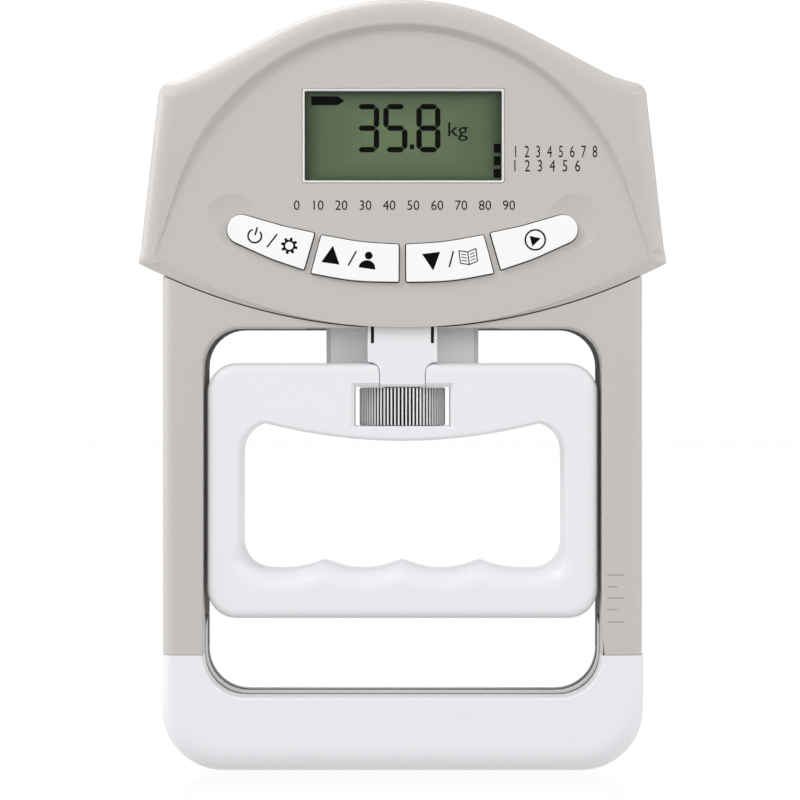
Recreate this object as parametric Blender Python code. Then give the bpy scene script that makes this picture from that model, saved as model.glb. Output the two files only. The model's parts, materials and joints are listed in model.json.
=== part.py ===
"""Electronic hand dynamometer, standing upright on its palm grip.

+Z is up, the display faces -Y, and the origin is the middle of the base.
The helpers take millimetres and place everything in metres.
"""

import math

import bmesh
import bpy
from mathutils import Matrix, Vector

MM = 0.001
GAP = 0.3  # between neighbouring solids

# Depths along Y
RIM_Y = -15.0  # crest of the head cover's rim
FACE_Y = -12.8  # dished display face
LEG_Y = -12.0  # front of the legs and the palm grip
SPLIT_Y = 2.0  # parting plane of the front and rear shells
BACK_Y = 15.0
WALL = 2.0
COVER_BACK_Y = -3.9
SLOT_FRONT_Y, SLOT_BACK_Y = -3.8, 13.4  # where the opening's wall is the chassis, not the shells

# Frame
LEG_HALF = 59.2
BASE_RADIUS = 15.0
CHASSIS_Y, CHASSIS_WALL = (-3.4, 12.7), 2.2
LINER_Y, LINER_TOP = (0.8, 8.6), 37.7
GRIP_TOP_Z = 29.0  # where the white palm grip meets the grey shells
OPEN_HALF, OPEN_LOW, OPEN_HIGH = 49.1, 18.6, 109.5
OPEN_LOW_RADIUS, OPEN_TOP_RADIUS = 10.3, 9.2
LEG_EDGE = 3.0

# Head: the corners of its outline, each with a fillet radius
HEAD_TOP = (0.0, 199.0, 64.5)
HEAD_RIGHT = [(52.4, 171.2, 30.0), (59.8, 169.4, 3.2), (65.0, 125.4, 0.0)]
HEAD_LOW = (0.0, 96.3, 140.0)
FACE_CORNERS = [(0.0, 318.0, 58.3), (61.0, 127.3, 1.5), (0.0, 93.5, 115.4), (-61.0, 127.3, 1.5)]

# Display and buttons
LCD_CENTRE = (0.25, 157.35)
LCD_SIZE = (49.4, 22.7)
BUTTON_FRONT_Y, BUTTON_BACK_Y = -14.2, -9.4
BUTTON_LIP = 0.7
DIMPLE = (42.0, 135.6, 6.8, 1.0)  # x, z, radius, depth
BOARD_Y = (-6.6, -5.0)
SCALE_LINES = [(48.7, 3.9), (45.8, 2.2), (43.0, 3.9), (40.2, 2.2), (37.1, 3.9)]  # z, length
SCALE_X = 50.6

# Handle and screw adjustment
ROD_Y = 0.5
HANDLE_HALF, HANDLE_LOW, HANDLE_HIGH, HANDLE_RADIUS = 48.2, 37.9, 100.9, 7.3
HANDLE_Y = (-11.0, 12.0)
HANDLE_EDGE = 2.5
WINDOW_HALF, WINDOW_TOP, WINDOW_BELLY = 40.0, 85.6, 81.7
GROOVE_PITCH, GROOVE_MID, GROOVE_RISE = 19.4, 50.85, 1.15
WHEEL_RADIUS, WHEEL_LOW, WHEEL_HIGH = 10.7, 85.5, 94.9
WHEEL_RIBS = 48
WHEEL_BAY = (11.85, 85.1, 95.3)  # half width, low z, high z
ROD_RADIUS, ROD_LOW, ROD_HIGH = 3.0, 92.5, 138.6
BUSH_RADIUS = 4.6
PLATE_HALF, PLATE_Y = 19.0, (-1.5, 4.5)
CARRIAGE_LOW, CARRIAGE_TOP = 97.0, 114.0
STEM_HALF, STEM_FRONT_Y, STEM_FRONT_TOP = 8.5, -10.4, 111.2
TONGUE_HALF = 5.6  # the stem's front where it shows in the handle's notch

# Load cell on the chassis shelves
CELL_HALF, CELL_LOW, CELL_HIGH = 34.0, 124.5, 134.5
CELL_Y = (-4.5, 6.3)
SHELF_X, SHELF_TOP, SHELF_WALL = 24.0, 124.2, 4.0
CELL_SCREW_X = 29.0

# Battery bay
CELL_RADIUS, BATTERY_LENGTH = 5.2, 44.5
BATTERY_Z = (146.0, 158.4)
BATTERY_Y = 6.6
TRAY_HALF, TRAY_LOW, TRAY_HIGH, TRAY_Y = 28.5, 139.0, 165.5, (-0.5, 12.6)
DOOR_HALF, DOOR_LOW, DOOR_HIGH = 31.0, 137.0, 168.0

CASE_SCREWS = [(44.0, 166.0), (-44.0, 166.0), (52.5, 141.5), (-52.5, 141.5)]
PALM_SCREWS = [(30.0, 7.2), (-30.0, 7.2)]
HANDLE_SCREWS = [(40.0, 93.2), (-40.0, 93.2), (40.0, 43.6), (-40.0, 43.6)]
BOARD_SCREWS = [(36.0, 168.0), (-36.0, 168.0)]


def collection(name):
    made = bpy.data.collections.new(name)
    bpy.context.scene.collection.children.link(made)
    return made


for old in list(bpy.data.objects):
    bpy.data.objects.remove(old, do_unlink=True)
parts = collection("hand_dynamometer")
cutters = collection("cutters")


# Materials

def material(name, color, roughness, metallic=0.0):
    made = bpy.data.materials.new(name)
    made.use_nodes = True
    shader = made.node_tree.nodes["Principled BSDF"]
    shader.inputs["Base Color"].default_value = (*color, 1.0)
    shader.inputs["Roughness"].default_value = roughness
    shader.inputs["Metallic"].default_value = metallic
    made.diffuse_color = (*color, 1.0)
    return made


GREY = material("warm_grey_plastic", (0.56, 0.53, 0.51), 0.45)
WHITE = material("white_plastic", (0.88, 0.88, 0.89), 0.38)
GLOSS_WHITE = material("button_white", (0.93, 0.93, 0.93), 0.2)
DARK = material("black_steel", (0.03, 0.03, 0.035), 0.45, 0.6)
LINER = material("liner_grey", (0.62, 0.63, 0.65), 0.4)
CLEAR = material("display_window", (0.11, 0.15, 0.09), 0.08)
GLASS = material("display_glass", (0.16, 0.22, 0.13), 0.15)
RUBBER = material("black_rubber", (0.05, 0.05, 0.05), 0.7)
BOARD = material("circuit_board", (0.04, 0.22, 0.10), 0.4)
CHROME = material("chrome", (0.75, 0.75, 0.76), 0.15, 1.0)
BRASS = material("brass", (0.78, 0.60, 0.30), 0.3, 1.0)
STEEL = material("plain_steel", (0.60, 0.60, 0.61), 0.35, 1.0)
ALUMINIUM = material("aluminium", (0.72, 0.73, 0.74), 0.4, 1.0)
WRAP = material("battery_wrap", (0.12, 0.16, 0.22), 0.35)
FOIL = material("gauge_film", (0.70, 0.48, 0.16), 0.4)


# Outlines in the XZ plane, as lists of (x, z)

def rounded(corners, steps=5):
    """Points of a polygon whose corners (x, z, radius) are filleted by arcs."""
    points = []
    count = len(corners)
    for index, (x, z, radius) in enumerate(corners):
        here = Vector((x, z))
        back = (Vector(corners[index - 1][:2]) - here).normalized()
        on = (Vector(corners[(index + 1) % count][:2]) - here).normalized()
        if radius < 0.05:
            points.append((x, z))
            continue
        half = back.angle(on) / 2
        middle = (back + on).normalized()
        centre = here + middle * radius / math.sin(half)
        start = here + back * radius / math.tan(half) - centre
        turn = (here + on * radius / math.tan(half) - centre).angle_signed(start)
        for step in range(steps + 1):
            arm = Matrix.Rotation(turn * step / steps, 2) @ start
            points.append(tuple(centre + arm))
    return points


def moved_in(corners, distance):
    """The same filleted polygon with every side moved in (or out, if negative), corners clockwise."""
    moved = []
    count = len(corners)
    for index, (x, z, radius) in enumerate(corners):
        here = Vector((x, z))
        before = (here - Vector(corners[index - 1][:2])).normalized()
        after = (Vector(corners[(index + 1) % count][:2]) - here).normalized()
        inward = Vector((before.y, -before.x)) + Vector((after.y, -after.x))
        shift = inward.normalized() * distance / max(0.05, inward.length / 2)
        convex = before.x * after.y - before.y * after.x < 0
        new_radius = radius - distance if convex else radius + distance
        moved.append((x + shift.x, z + shift.y, max(0.0, new_radius) if radius else 0.0))
    return moved


def rectangle(half, low, high, radius=0.0, centre=0.0):
    return [(centre - half, high, radius), (centre + half, high, radius),
            (centre + half, low, radius), (centre - half, low, radius)]


HEAD = [HEAD_TOP, *HEAD_RIGHT, HEAD_LOW, *[(-x, z, r) for x, z, r in reversed(HEAD_RIGHT)]]
JUNCTION_Z = HEAD_RIGHT[2][1] - (HEAD_RIGHT[2][0] - LEG_HALF) * math.tan(math.radians(24))
FRAME_RIGHT = [*HEAD_RIGHT, (LEG_HALF, JUNCTION_Z, 0.6), (LEG_HALF, 0.0, BASE_RADIUS)]
FRAME = [HEAD_TOP, *FRAME_RIGHT, *[(-x, z, r) for x, z, r in reversed(FRAME_RIGHT)]]
OPENING = [(-OPEN_HALF, OPEN_HIGH, OPEN_TOP_RADIUS), (OPEN_HALF, OPEN_HIGH, OPEN_TOP_RADIUS),
           (OPEN_HALF, OPEN_LOW, OPEN_LOW_RADIUS), (-OPEN_HALF, OPEN_LOW, OPEN_LOW_RADIUS)]


def window_outline(grow):
    """The handle's finger window, grown all round: a bellied top, round ends and four finger grooves."""
    belly_drop = WINDOW_TOP - WINDOW_BELLY
    span = WINDOW_HALF - 8.0
    points = []
    for step in range(9):
        across = -span + 2 * span * step / 8
        points.append((across, WINDOW_BELLY + grow + belly_drop * (across / span) ** 2))
    end_radius = 7.0 + grow
    right, low = WINDOW_HALF + grow, GROOVE_MID - GROOVE_RISE - grow
    high = WINDOW_TOP + grow
    for centre_z, first in ((high - end_radius, 90), (low + end_radius, 0)):
        for step in range(5):
            angle = math.radians(first - 22.5 * step)
            points.append((right - end_radius + end_radius * math.cos(angle),
                           centre_z + end_radius * math.sin(angle)))
    for step in range(19):
        x = 1.5 * GROOVE_PITCH * (1 - step / 9)
        points.append((x, GROOVE_MID - grow + GROOVE_RISE * math.cos(2 * math.pi * x / GROOVE_PITCH)))
    for centre_z, first in ((low + end_radius, 270), (high - end_radius, 180)):
        for step in range(5):
            angle = math.radians(first - 22.5 * step)
            points.append((-right + end_radius + end_radius * math.cos(angle),
                           centre_z + end_radius * math.sin(angle)))
    return points


# Solids

def put(name, mesh, look=None):
    obj = bpy.data.objects.new(name, mesh)
    parts.objects.link(obj)
    if look:
        mesh.materials.clear()
        mesh.materials.append(look)
    mesh.shade_smooth()
    mesh.set_sharp_from_angle(angle=math.radians(35))
    return obj


def mesh_of_curve(curve, matrix):
    """A curve object's evaluated mesh with its caps welded, moved by matrix."""
    holder = bpy.data.objects.new("outline", curve)
    parts.objects.link(holder)
    graph = bpy.context.evaluated_depsgraph_get()
    mesh = bpy.data.meshes.new_from_object(holder.evaluated_get(graph))
    bpy.data.objects.remove(holder, do_unlink=True)
    mesh.transform(matrix)
    work = bmesh.new()
    work.from_mesh(mesh)
    bmesh.ops.remove_doubles(work, verts=work.verts, dist=1e-6)
    bmesh.ops.recalc_face_normals(work, faces=work.faces)
    work.to_mesh(mesh)
    work.free()
    return mesh


def plate(name, outlines, front, back, look=None, edge=0.0, edge_rounds=1):
    """Flat outlines in XZ filled and given thickness from front to back along Y.

    With an edge radius the outlines are drawn that much smaller, and the curve's bevel grows them back.
    """
    curve = bpy.data.curves.new(name, "CURVE")
    curve.dimensions = "2D"
    curve.fill_mode = "BOTH"
    curve.extrude = ((back - front) / 2 - edge) * MM
    curve.bevel_depth = edge * MM
    curve.bevel_resolution = edge_rounds
    for outline in outlines:
        spline = curve.splines.new("POLY")
        spline.points.add(len(outline) - 1)
        for point, (x, z) in zip(spline.points, outline):
            point.co = (x * MM, z * MM, 0.0, 1.0)
        spline.use_cyclic_u = True
    upright = Matrix.Translation((0, (front + back) / 2 * MM, 0)) @ Matrix.Rotation(math.pi / 2, 4, "X")
    return put(name, mesh_of_curve(curve, upright), look)


def block(name, x, y, z, look=None):
    """A box between two values on each axis."""
    work = bmesh.new()
    bmesh.ops.create_cube(work, size=1.0)
    size = Vector((x[1] - x[0], y[1] - y[0], z[1] - z[0])) * MM
    middle = Vector((x[1] + x[0], y[1] + y[0], z[1] + z[0])) * MM / 2
    bmesh.ops.scale(work, vec=size, verts=work.verts)
    bmesh.ops.translate(work, vec=middle, verts=work.verts)
    mesh = bpy.data.meshes.new(name)
    work.to_mesh(mesh)
    work.free()
    return put(name, mesh, look)


def cylinder(name, radius, start, end, look=None, sides=24):
    """A round bar from one point to another."""
    start, end = Vector(start) * MM, Vector(end) * MM
    work = bmesh.new()
    bmesh.ops.create_cone(work, cap_ends=True, segments=sides, radius1=radius * MM, radius2=radius * MM,
                          depth=(end - start).length)
    turn = Vector((0, 0, 1)).rotation_difference(end - start).to_matrix().to_4x4()
    work.transform(Matrix.Translation((start + end) / 2) @ turn)
    mesh = bpy.data.meshes.new(name)
    work.to_mesh(mesh)
    work.free()
    return put(name, mesh, look)


def tube(name, points, radius, look):
    """A wire along a list of points."""
    curve = bpy.data.curves.new(name, "CURVE")
    curve.dimensions = "3D"
    curve.bevel_depth = radius * MM
    curve.bevel_resolution = 1
    curve.use_fill_caps = True
    spline = curve.splines.new("POLY")
    spline.points.add(len(points) - 1)
    for point, place in zip(spline.points, points):
        point.co = (*(Vector(place) * MM), 1.0)
    return put(name, mesh_of_curve(curve, Matrix()), look)


def boolean(target, tool, operation):
    """Cut, join or intersect with a tool, which stays in the cutters' collection."""
    tool.hide_render = True
    tool.display_type = "WIRE"
    if tool.name in parts.objects:
        parts.objects.unlink(tool)
        cutters.objects.link(tool)
    change = target.modifiers.new(tool.name, "BOOLEAN")
    change.operation = operation
    change.solver = "EXACT"
    change.object = tool


def cut(target, *tools):
    for tool in tools:
        boolean(target, tool, "DIFFERENCE")


def join(target, *tools):
    for tool in tools:
        boolean(target, tool, "UNION")


def screw_pair(shell_front, shell_rear, x, z, ys, head, shaft, name):
    """Bosses in two shells and the screw that joins them, driven in from the back.

    ys holds the front boss's end, the split, the head's seat and the back face.
    """
    front_end, split, seat, back = ys
    join(shell_front, cylinder(f"{name}_front_boss", shaft + 1.9, (x, front_end, z), (x, split - 0.15, z), sides=10))
    join(shell_rear, cylinder(f"{name}_rear_boss", head + 1.3, (x, split + 0.15, z), (x, back - 1.0, z), sides=12))
    hole = cylinder(f"{name}_hole", shaft + GAP, (x, split - 8.5, z), (x, seat + 1, z), sides=8)
    well = cylinder(f"{name}_well", head + GAP, (x, seat - GAP, z), (x, back + 1, z), sides=14)
    cut(shell_front, hole)
    cut(shell_rear, well, hole)
    screw = cylinder(name, shaft, (x, split - 8, z), (x, seat + 0.5, z), STEEL, sides=8)
    join(screw, cylinder(f"{name}_head", head, (x, seat, z), (x, seat + 1.9, z), sides=12))
    cut(screw, block(f"{name}_slot", (x - 1.6, x + 1.6), (seat + 1.0, seat + 3), (z - 0.35, z + 0.35)))


# Frame: head cover, front and rear shells, palm grip, chassis

def make_cover():
    cover = plate("head_cover", [rounded(moved_in(HEAD, 2.2))], RIM_Y, 0.0, GREY, edge=2.2)
    cut(cover, block("cover_back_cut", (-80, 80), (COVER_BACK_Y, 5), (90, 210)))
    cut(cover, plate("face_cut", [rounded(FACE_CORNERS, 9)], RIM_Y - 3, FACE_Y))
    cut(cover, plate("cover_cavity", [rounded(moved_in(HEAD, 3.0))], FACE_Y + WALL, 3))
    x, z, radius, depth = DIMPLE
    ball = (radius ** 2 + depth ** 2) / (2 * depth)
    for side in (-1, 1):
        work = bmesh.new()
        bmesh.ops.create_uvsphere(work, u_segments=64, v_segments=32, radius=ball * MM)
        bmesh.ops.translate(work, vec=Vector((side * x, FACE_Y + depth - ball, z)) * MM, verts=work.verts)
        mesh = bpy.data.meshes.new("dimple")
        work.to_mesh(mesh)
        work.free()
        cut(cover, put(f"dimple_{side}", mesh))
    half, high = LCD_SIZE[0] / 2 + 1.4, LCD_SIZE[1] / 2 + 1.4
    cut(cover, block("display_hole", (LCD_CENTRE[0] - half, LCD_CENTRE[0] + half), (-20, -9),
                     (LCD_CENTRE[1] - high, LCD_CENTRE[1] + high)))
    for name, corners in button_outlines().items():
        cut(cover, plate(f"{name}_hole", [rounded(moved_in(corners, -GAP), 3)], -20, -9))
    cut(cover, block("cover_slot_guide_cut", (-24, 24), (-8.8, 0), (108, 115)))
    cut(cover, block("cover_stem_cut", (-STEM_HALF - 0.5, STEM_HALF + 0.5), (FACE_Y + WALL - 0.1, 0), (108, 114)))
    for index, (x, z) in enumerate(BOARD_SCREWS):
        join(cover, cylinder(f"board_post_{index}", 2.6, (x, -11.5, z), (x, BOARD_Y[0] - GAP, z), sides=10))
        cut(cover, cylinder(f"board_post_hole_{index}", 1.4, (x, -10.2, z), (x, 0, z), sides=8))
    return cover


def frame_blank(name, look, low, high, front, back):
    """The part of the rounded frame ring between two heights and two depths, hollowed."""
    blank = plate(name, [rounded(moved_in(FRAME, LEG_EDGE))], LEG_Y, BACK_Y, look, edge=LEG_EDGE)
    region = block(f"{name}_region", (-80, 80), (front, back), (low, high))
    boolean(blank, region, "INTERSECT")
    cut(blank, plate(f"{name}_slot", [rounded(moved_in(OPENING, -WALL - 0.4), 4)], SLOT_FRONT_Y, SLOT_BACK_Y))
    cut(blank, plate(f"{name}_opening", [rounded(OPENING)], -30, 30))
    cavity = plate(f"{name}_cavity", [rounded(moved_in(FRAME, WALL + 0.6)), rounded(moved_in(OPENING, -WALL))],
                   LEG_Y + WALL, BACK_Y - WALL)
    cut(blank, cavity)
    return blank


def make_shells():
    half_gap = GAP / 2
    front_shell = frame_blank("front_shell", GREY, GRIP_TOP_Z + half_gap, 220, -30, SPLIT_Y - half_gap)
    cut(front_shell, block("slot_guide_room", (-24, 24), (-8.8, 4), (108, 115)))
    cut(front_shell, block("stem_room", (-STEM_HALF - 0.5, STEM_HALF + 0.5), (-13, 4), (108, 115)))
    for index, (z, length) in enumerate(SCALE_LINES):
        cut(front_shell, block(f"scale_line_{index}", (SCALE_X, SCALE_X + length), (LEG_Y - 1, LEG_Y + 0.3),
                               (z - 0.2, z + 0.2)))
    cut(front_shell, plate("cover_room", [rounded(moved_in(HEAD, -GAP))], -20, COVER_BACK_Y + GAP))
    rear_shell = frame_blank("rear_shell", GREY, GRIP_TOP_Z + half_gap, 220, SPLIT_Y + half_gap, 30)
    cut(rear_shell, block("door_hole", (-DOOR_HALF - GAP, DOOR_HALF + GAP), (12.7, 17),
                          (DOOR_LOW - GAP, DOOR_HIGH + GAP)))
    grip_front = frame_blank("palm_grip_front", WHITE, -1, GRIP_TOP_Z - half_gap, -30, SPLIT_Y - half_gap)
    grip_rear = frame_blank("palm_grip_rear", WHITE, -1, GRIP_TOP_Z - half_gap, SPLIT_Y + half_gap, 30)
    return front_shell, rear_shell, grip_front, grip_rear


def make_chassis():
    """A steel loop, open at the top, whose two shelves carry the load cell's ends."""
    inner_x, lip_z, floor_z = OPEN_HALF + 1, OPEN_HIGH + 1, OPEN_LOW - 1
    outer_x = inner_x + CHASSIS_WALL
    right = [(SHELF_X, SHELF_TOP, 0), (SHELF_X, SHELF_TOP - SHELF_WALL, 0), (inner_x, SHELF_TOP - SHELF_WALL, 0),
             (inner_x, lip_z + CHASSIS_WALL, 0), (SHELF_X, lip_z + CHASSIS_WALL, 0), (SHELF_X, lip_z, 0),
             (inner_x, lip_z, OPEN_TOP_RADIUS + 1), (inner_x, floor_z, OPEN_LOW_RADIUS + 1)]
    inner_left = [(-x, z, r) for x, z, r in reversed(right)]
    outer_right = [(outer_x, floor_z - CHASSIS_WALL, OPEN_LOW_RADIUS + 3), (outer_x, 134.0, 0),
                   (inner_x, 134.0, 0), (inner_x, SHELF_TOP, 0)]
    outer_left = [(-x, z, r) for x, z, r in reversed(outer_right)]
    chassis = plate("chassis", [rounded(right + inner_left + outer_left + outer_right, 6)], *CHASSIS_Y, DARK)
    for side in (-1, 1):
        x = side * CELL_SCREW_X
        cut(chassis, cylinder(f"chassis_thread_{side}", 2.3, (x, 0.9, 114.5), (x, 0.9, 126), sides=12))
    outer = moved_in(OPENING, -0.8)
    inner = moved_in(OPENING, -0.15)
    liner = plate("opening_liner", [rounded(outer), rounded(inner)], *LINER_Y, LINER)
    boolean(liner, block("liner_region", (-80, 80), (-30, 30), (0, LINER_TOP)), "INTERSECT")
    guide = block("slot_guide", (-23.6, 23.6), (-8.5, 6.5), (110.0, 114.5), RUBBER)
    cut(guide, block("slot_guide_wide", (-PLATE_HALF - GAP, PLATE_HALF + GAP), (PLATE_Y[0] - GAP, PLATE_Y[1] + GAP),
                     (100, 120)))
    cut(guide, block("slot_guide_middle", (-STEM_HALF - 0.4, STEM_HALF + 0.4), (-20, 20), (100, 120)))
    join(guide, block("slot_guide_back", (-23.6, 23.6), (6.35, 6.65), (110.0, 114.5)))
    return chassis


# Display, board and buttons

def button_outlines():
    """Each button's corners, clockwise: four caps along an arc of about 90 mm radius."""
    inner = [(0.9, 130.0, 0.8), (10.0, 130.5, 60.0), (19.9, 132.3, 0.8), (22.3, 123.3, 0.8), (12.0, 121.2, 60.0),
             (0.95, 120.8, 0.8)]
    outer = [(21.6, 132.8, 0.8), (29.5, 134.5, 40.0), (42.6, 138.3, 3.4), (44.6, 131.9, 3.4), (32.0, 126.4, 40.0),
             (24.2, 123.8, 0.8)]
    def flipped(corners):
        return [(-x, z, r) for x, z, r in reversed(corners)]
    return {"button_set": flipped(outer), "button_up": flipped(inner),
            "button_down": inner, "button_start": outer}


BUTTON_CENTRES = {"button_set": (-33.0, 131.2), "button_up": (-11.2, 126.5),
                  "button_down": (11.2, 126.5), "button_start": (33.0, 131.2)}


def make_display():
    x, z = LCD_CENTRE
    half, high = LCD_SIZE[0] / 2, LCD_SIZE[1] / 2
    bezel = block("display_bezel", (x - half - 1.1, x + half + 1.1), (-13.1, -11.4), (z - high - 1.1, z + high + 1.1), GREY)
    cut(bezel, block("bezel_hole", (x - half - GAP, x + half + GAP), (-20, 0), (z - high - GAP, z + high + GAP)))
    block("display_window", (x - half, x + half), (-13.0, -11.8), (z - high, z + high), CLEAR)
    block("display_panel", (-27.0, 27.0), (-10.5, -8.1), (144.0, 171.0), GLASS)
    block("display_connector", (-25.0, 25.0), (-7.8, -6.9), (144.5, 147.0), RUBBER)
    board = block("circuit_board", (-39.0, 39.0), BOARD_Y, (123.0, 171.5), BOARD)
    for index, (x, z) in enumerate(BOARD_SCREWS):
        cut(board, cylinder(f"board_hole_{index}", 1.5, (x, -9, z), (x, 0, z), sides=10))
        screw = cylinder(f"board_screw_{index + 1}", 1.1, (x, -9.8, z), (x, -4.4, z), STEEL, sides=10)
        join(screw, cylinder(f"board_screw_head_{index}", 2.1, (x, BOARD_Y[1] + 0.2, z), (x, -3.4, z), sides=14))
    cylinder("buzzer", 5.0, (33.0, BOARD_Y[1] + GAP, 157.0), (33.0, -1.6, 157.0), RUBBER, sides=24)


def make_buttons():
    for name, corners in button_outlines().items():
        cap = plate(name, [rounded(moved_in(corners, 0.5), 3)], BUTTON_FRONT_Y, BUTTON_BACK_Y, GLOSS_WHITE,
                    edge=0.5, edge_rounds=0)
        join(cap, plate(f"{name}_lip", [rounded(moved_in(corners, -BUTTON_LIP), 2)], -10.5, BUTTON_BACK_Y))
        x, z = BUTTON_CENTRES[name]
        block(name.replace("button", "switch"), (x - 2.2, x + 2.2), (-8.4, -6.9), (z - 2.2, z + 2.2), DARK)
        pivot(f"{name}_axis", (x, BUTTON_FRONT_Y, z), cap)


def pivot(name, place, *pieces):
    """An empty on a joint's axis, which carries the pieces that move about or along it."""
    empty = bpy.data.objects.new(name, None)
    empty.location = Vector(place) * MM
    empty.empty_display_size = 0.005
    parts.objects.link(empty)
    bpy.context.view_layer.update()
    for piece in pieces:
        piece.parent = empty
        piece.matrix_parent_inverse = empty.matrix_world.inverted()
    return empty


# Force train: load cell, draw rod, carriage, wheel and handle

def make_load_cell():
    cell = block("load_cell", (-CELL_HALF, CELL_HALF), CELL_Y, (CELL_LOW, CELL_HIGH), ALUMINIUM)
    for side in (-1, 1):
        cut(cell, plate(f"flexure_{side}", [rounded(rectangle(5.0, 127.0, 132.0, 2.0, side * 14.0), 4)], -20, 20))
        x = side * CELL_SCREW_X
        cut(cell, cylinder(f"cell_hole_{side}", 2.5, (x, 0.9, 120), (x, 0.9, 140), sides=16))
        label = "left" if side < 0 else "right"
        screw = cylinder(f"cell_screw_{label}", 2.0, (x, 0.9, 115), (x, 0.9, 136), STEEL, sides=14)
        join(screw, cylinder(f"cell_screw_head_{label}", 3.6, (x, 0.9, CELL_HIGH + GAP), (x, 0.9, 138.0), sides=18))
        cut(screw, cylinder(f"cell_screw_socket_{label}", 1.6, (x, 0.9, 136.4), (x, 0.9, 140), sides=6))
        block(f"strain_gauge_{label}", (side * 14 - 4, side * 14 + 4), (-1.6, 3.4), (CELL_HIGH + 0.2, CELL_HIGH + 0.5), FOIL)
    cut(cell, cylinder("cell_rod_hole", ROD_RADIUS + 0.35, (0, ROD_Y, 120), (0, ROD_Y, 140), sides=20))
    rod = cylinder("draw_rod", ROD_RADIUS, (0, ROD_Y, ROD_LOW), (0, ROD_Y, ROD_HIGH), STEEL, sides=28)
    nut = cylinder("rod_nut", 5.1, (0, ROD_Y, CELL_HIGH + GAP), (0, ROD_Y, CELL_HIGH + 3.4), STEEL, sides=6)
    cut(nut, cylinder("nut_bore", ROD_RADIUS + 0.2, (0, ROD_Y, 130), (0, ROD_Y, 145), sides=20))
    pivot("draw_axis", (0, ROD_Y, CELL_LOW), rod, nut)


def knurled_outline():
    points = []
    for step in range(WHEEL_RIBS * 2):
        angle = math.pi * step / WHEEL_RIBS
        radius = WHEEL_RADIUS if step % 2 else WHEEL_RADIUS - 0.35
        points.append((radius * math.cos(angle), radius * math.sin(angle)))
    return points


def make_wheel():
    curve = bpy.data.curves.new("adjust_wheel", "CURVE")
    curve.dimensions = "2D"
    curve.fill_mode = "BOTH"
    curve.extrude = (WHEEL_HIGH - WHEEL_LOW) / 2 * MM
    spline = curve.splines.new("POLY")
    outline = knurled_outline()
    spline.points.add(len(outline) - 1)
    for point, (x, y) in zip(spline.points, outline):
        point.co = (x * MM, y * MM, 0.0, 1.0)
    spline.use_cyclic_u = True
    middle = Matrix.Translation((0, ROD_Y * MM, (WHEEL_LOW + WHEEL_HIGH) / 2 * MM))
    wheel = put("adjust_wheel", mesh_of_curve(curve, middle), CHROME)
    cut(wheel, cylinder("wheel_bore", BUSH_RADIUS + GAP, (0, ROD_Y, 80), (0, ROD_Y, 100), sides=24))
    bush = cylinder("thread_bush", BUSH_RADIUS, (0, ROD_Y, 85.8), (0, ROD_Y, 108.0), BRASS, sides=24)
    cut(bush, cylinder("bush_bore", ROD_RADIUS + 0.1, (0, ROD_Y, 80), (0, ROD_Y, 112), sides=28))
    pivot("wheel_axis", (0, ROD_Y, (WHEEL_LOW + WHEEL_HIGH) / 2), wheel, bush)
    washers = []
    for name, low, high in (("thrust_washer_upper", 95.55, 96.4), ("thrust_washer_lower", 84.6, 85.2)):
        washer = cylinder(name, 8.0, (0, ROD_Y, low), (0, ROD_Y, high), STEEL, sides=24)
        cut(washer, cylinder(f"{name}_bore", 5.1, (0, ROD_Y, low - 2), (0, ROD_Y, high + 2), sides=20))
        washers.append(washer)
    return washers


def make_carriage():
    """The moulded slide that carries the handle: a wide guide plate with a thicker hollow stem on it."""
    carriage = block("guide_carriage", (-PLATE_HALF, PLATE_HALF), PLATE_Y, (CARRIAGE_LOW + 0.5, CARRIAGE_TOP), WHITE)
    join(carriage, block("stem_core", (-7.0, 7.0), (-6.0, 6.2), (CARRIAGE_LOW + 0.2, CARRIAGE_TOP - 0.3)))
    join(carriage, block("stem_front", (-STEM_HALF, STEM_HALF), (STEM_FRONT_Y, 6.3), (HANDLE_HIGH + GAP, STEM_FRONT_TOP)))
    join(carriage, block("stem_tongue", (-TONGUE_HALF, TONGUE_HALF), (STEM_FRONT_Y, -5.5), (96.8, HANDLE_HIGH + 1)))
    join(carriage, block("carriage_foot", (-22.0, 22.0), (-3.0, 5.6), (CARRIAGE_LOW, 98.0)))
    cut(carriage, cylinder("carriage_bore", 5.1, (0, ROD_Y, 90), (0, ROD_Y, 120), sides=24))
    for side in (-1, 1):
        slot_x = sorted((side * 7.1, side * 7.8))
        cut(carriage, block(f"stem_slot_{side}", slot_x, (-12, -7), (105.8, 113)))
    return carriage


def handle_blank(name, front, back):
    outer = rectangle(HANDLE_HALF, HANDLE_LOW, HANDLE_HIGH, HANDLE_RADIUS)
    blank = plate(name, [rounded(moved_in(outer, HANDLE_EDGE), 6), window_outline(HANDLE_EDGE)], *HANDLE_Y,
                  WHITE, edge=HANDLE_EDGE)
    boolean(blank, block(f"{name}_region", (-80, 80), (front, back), (0, 150)), "INTERSECT")
    cut(blank, plate(f"{name}_cavity", [rounded(moved_in(outer, 2.6), 6), window_outline(2.4)],
                     HANDLE_Y[0] + WALL, HANDLE_Y[1] - WALL))
    half, low, high = WHEEL_BAY
    cut(blank, block(f"{name}_wheel_bay", (-half, half), (-30, 30), (low, high)))
    cut(blank, block(f"{name}_plate_slot", (-PLATE_HALF - GAP, PLATE_HALF + GAP), (PLATE_Y[0] - GAP, PLATE_Y[1] + GAP),
                     (98, 110)))
    cut(blank, block(f"{name}_neck_slot", (-7.3, 7.3), (-6.3, 6.5), (98, 110)))
    return blank


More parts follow.
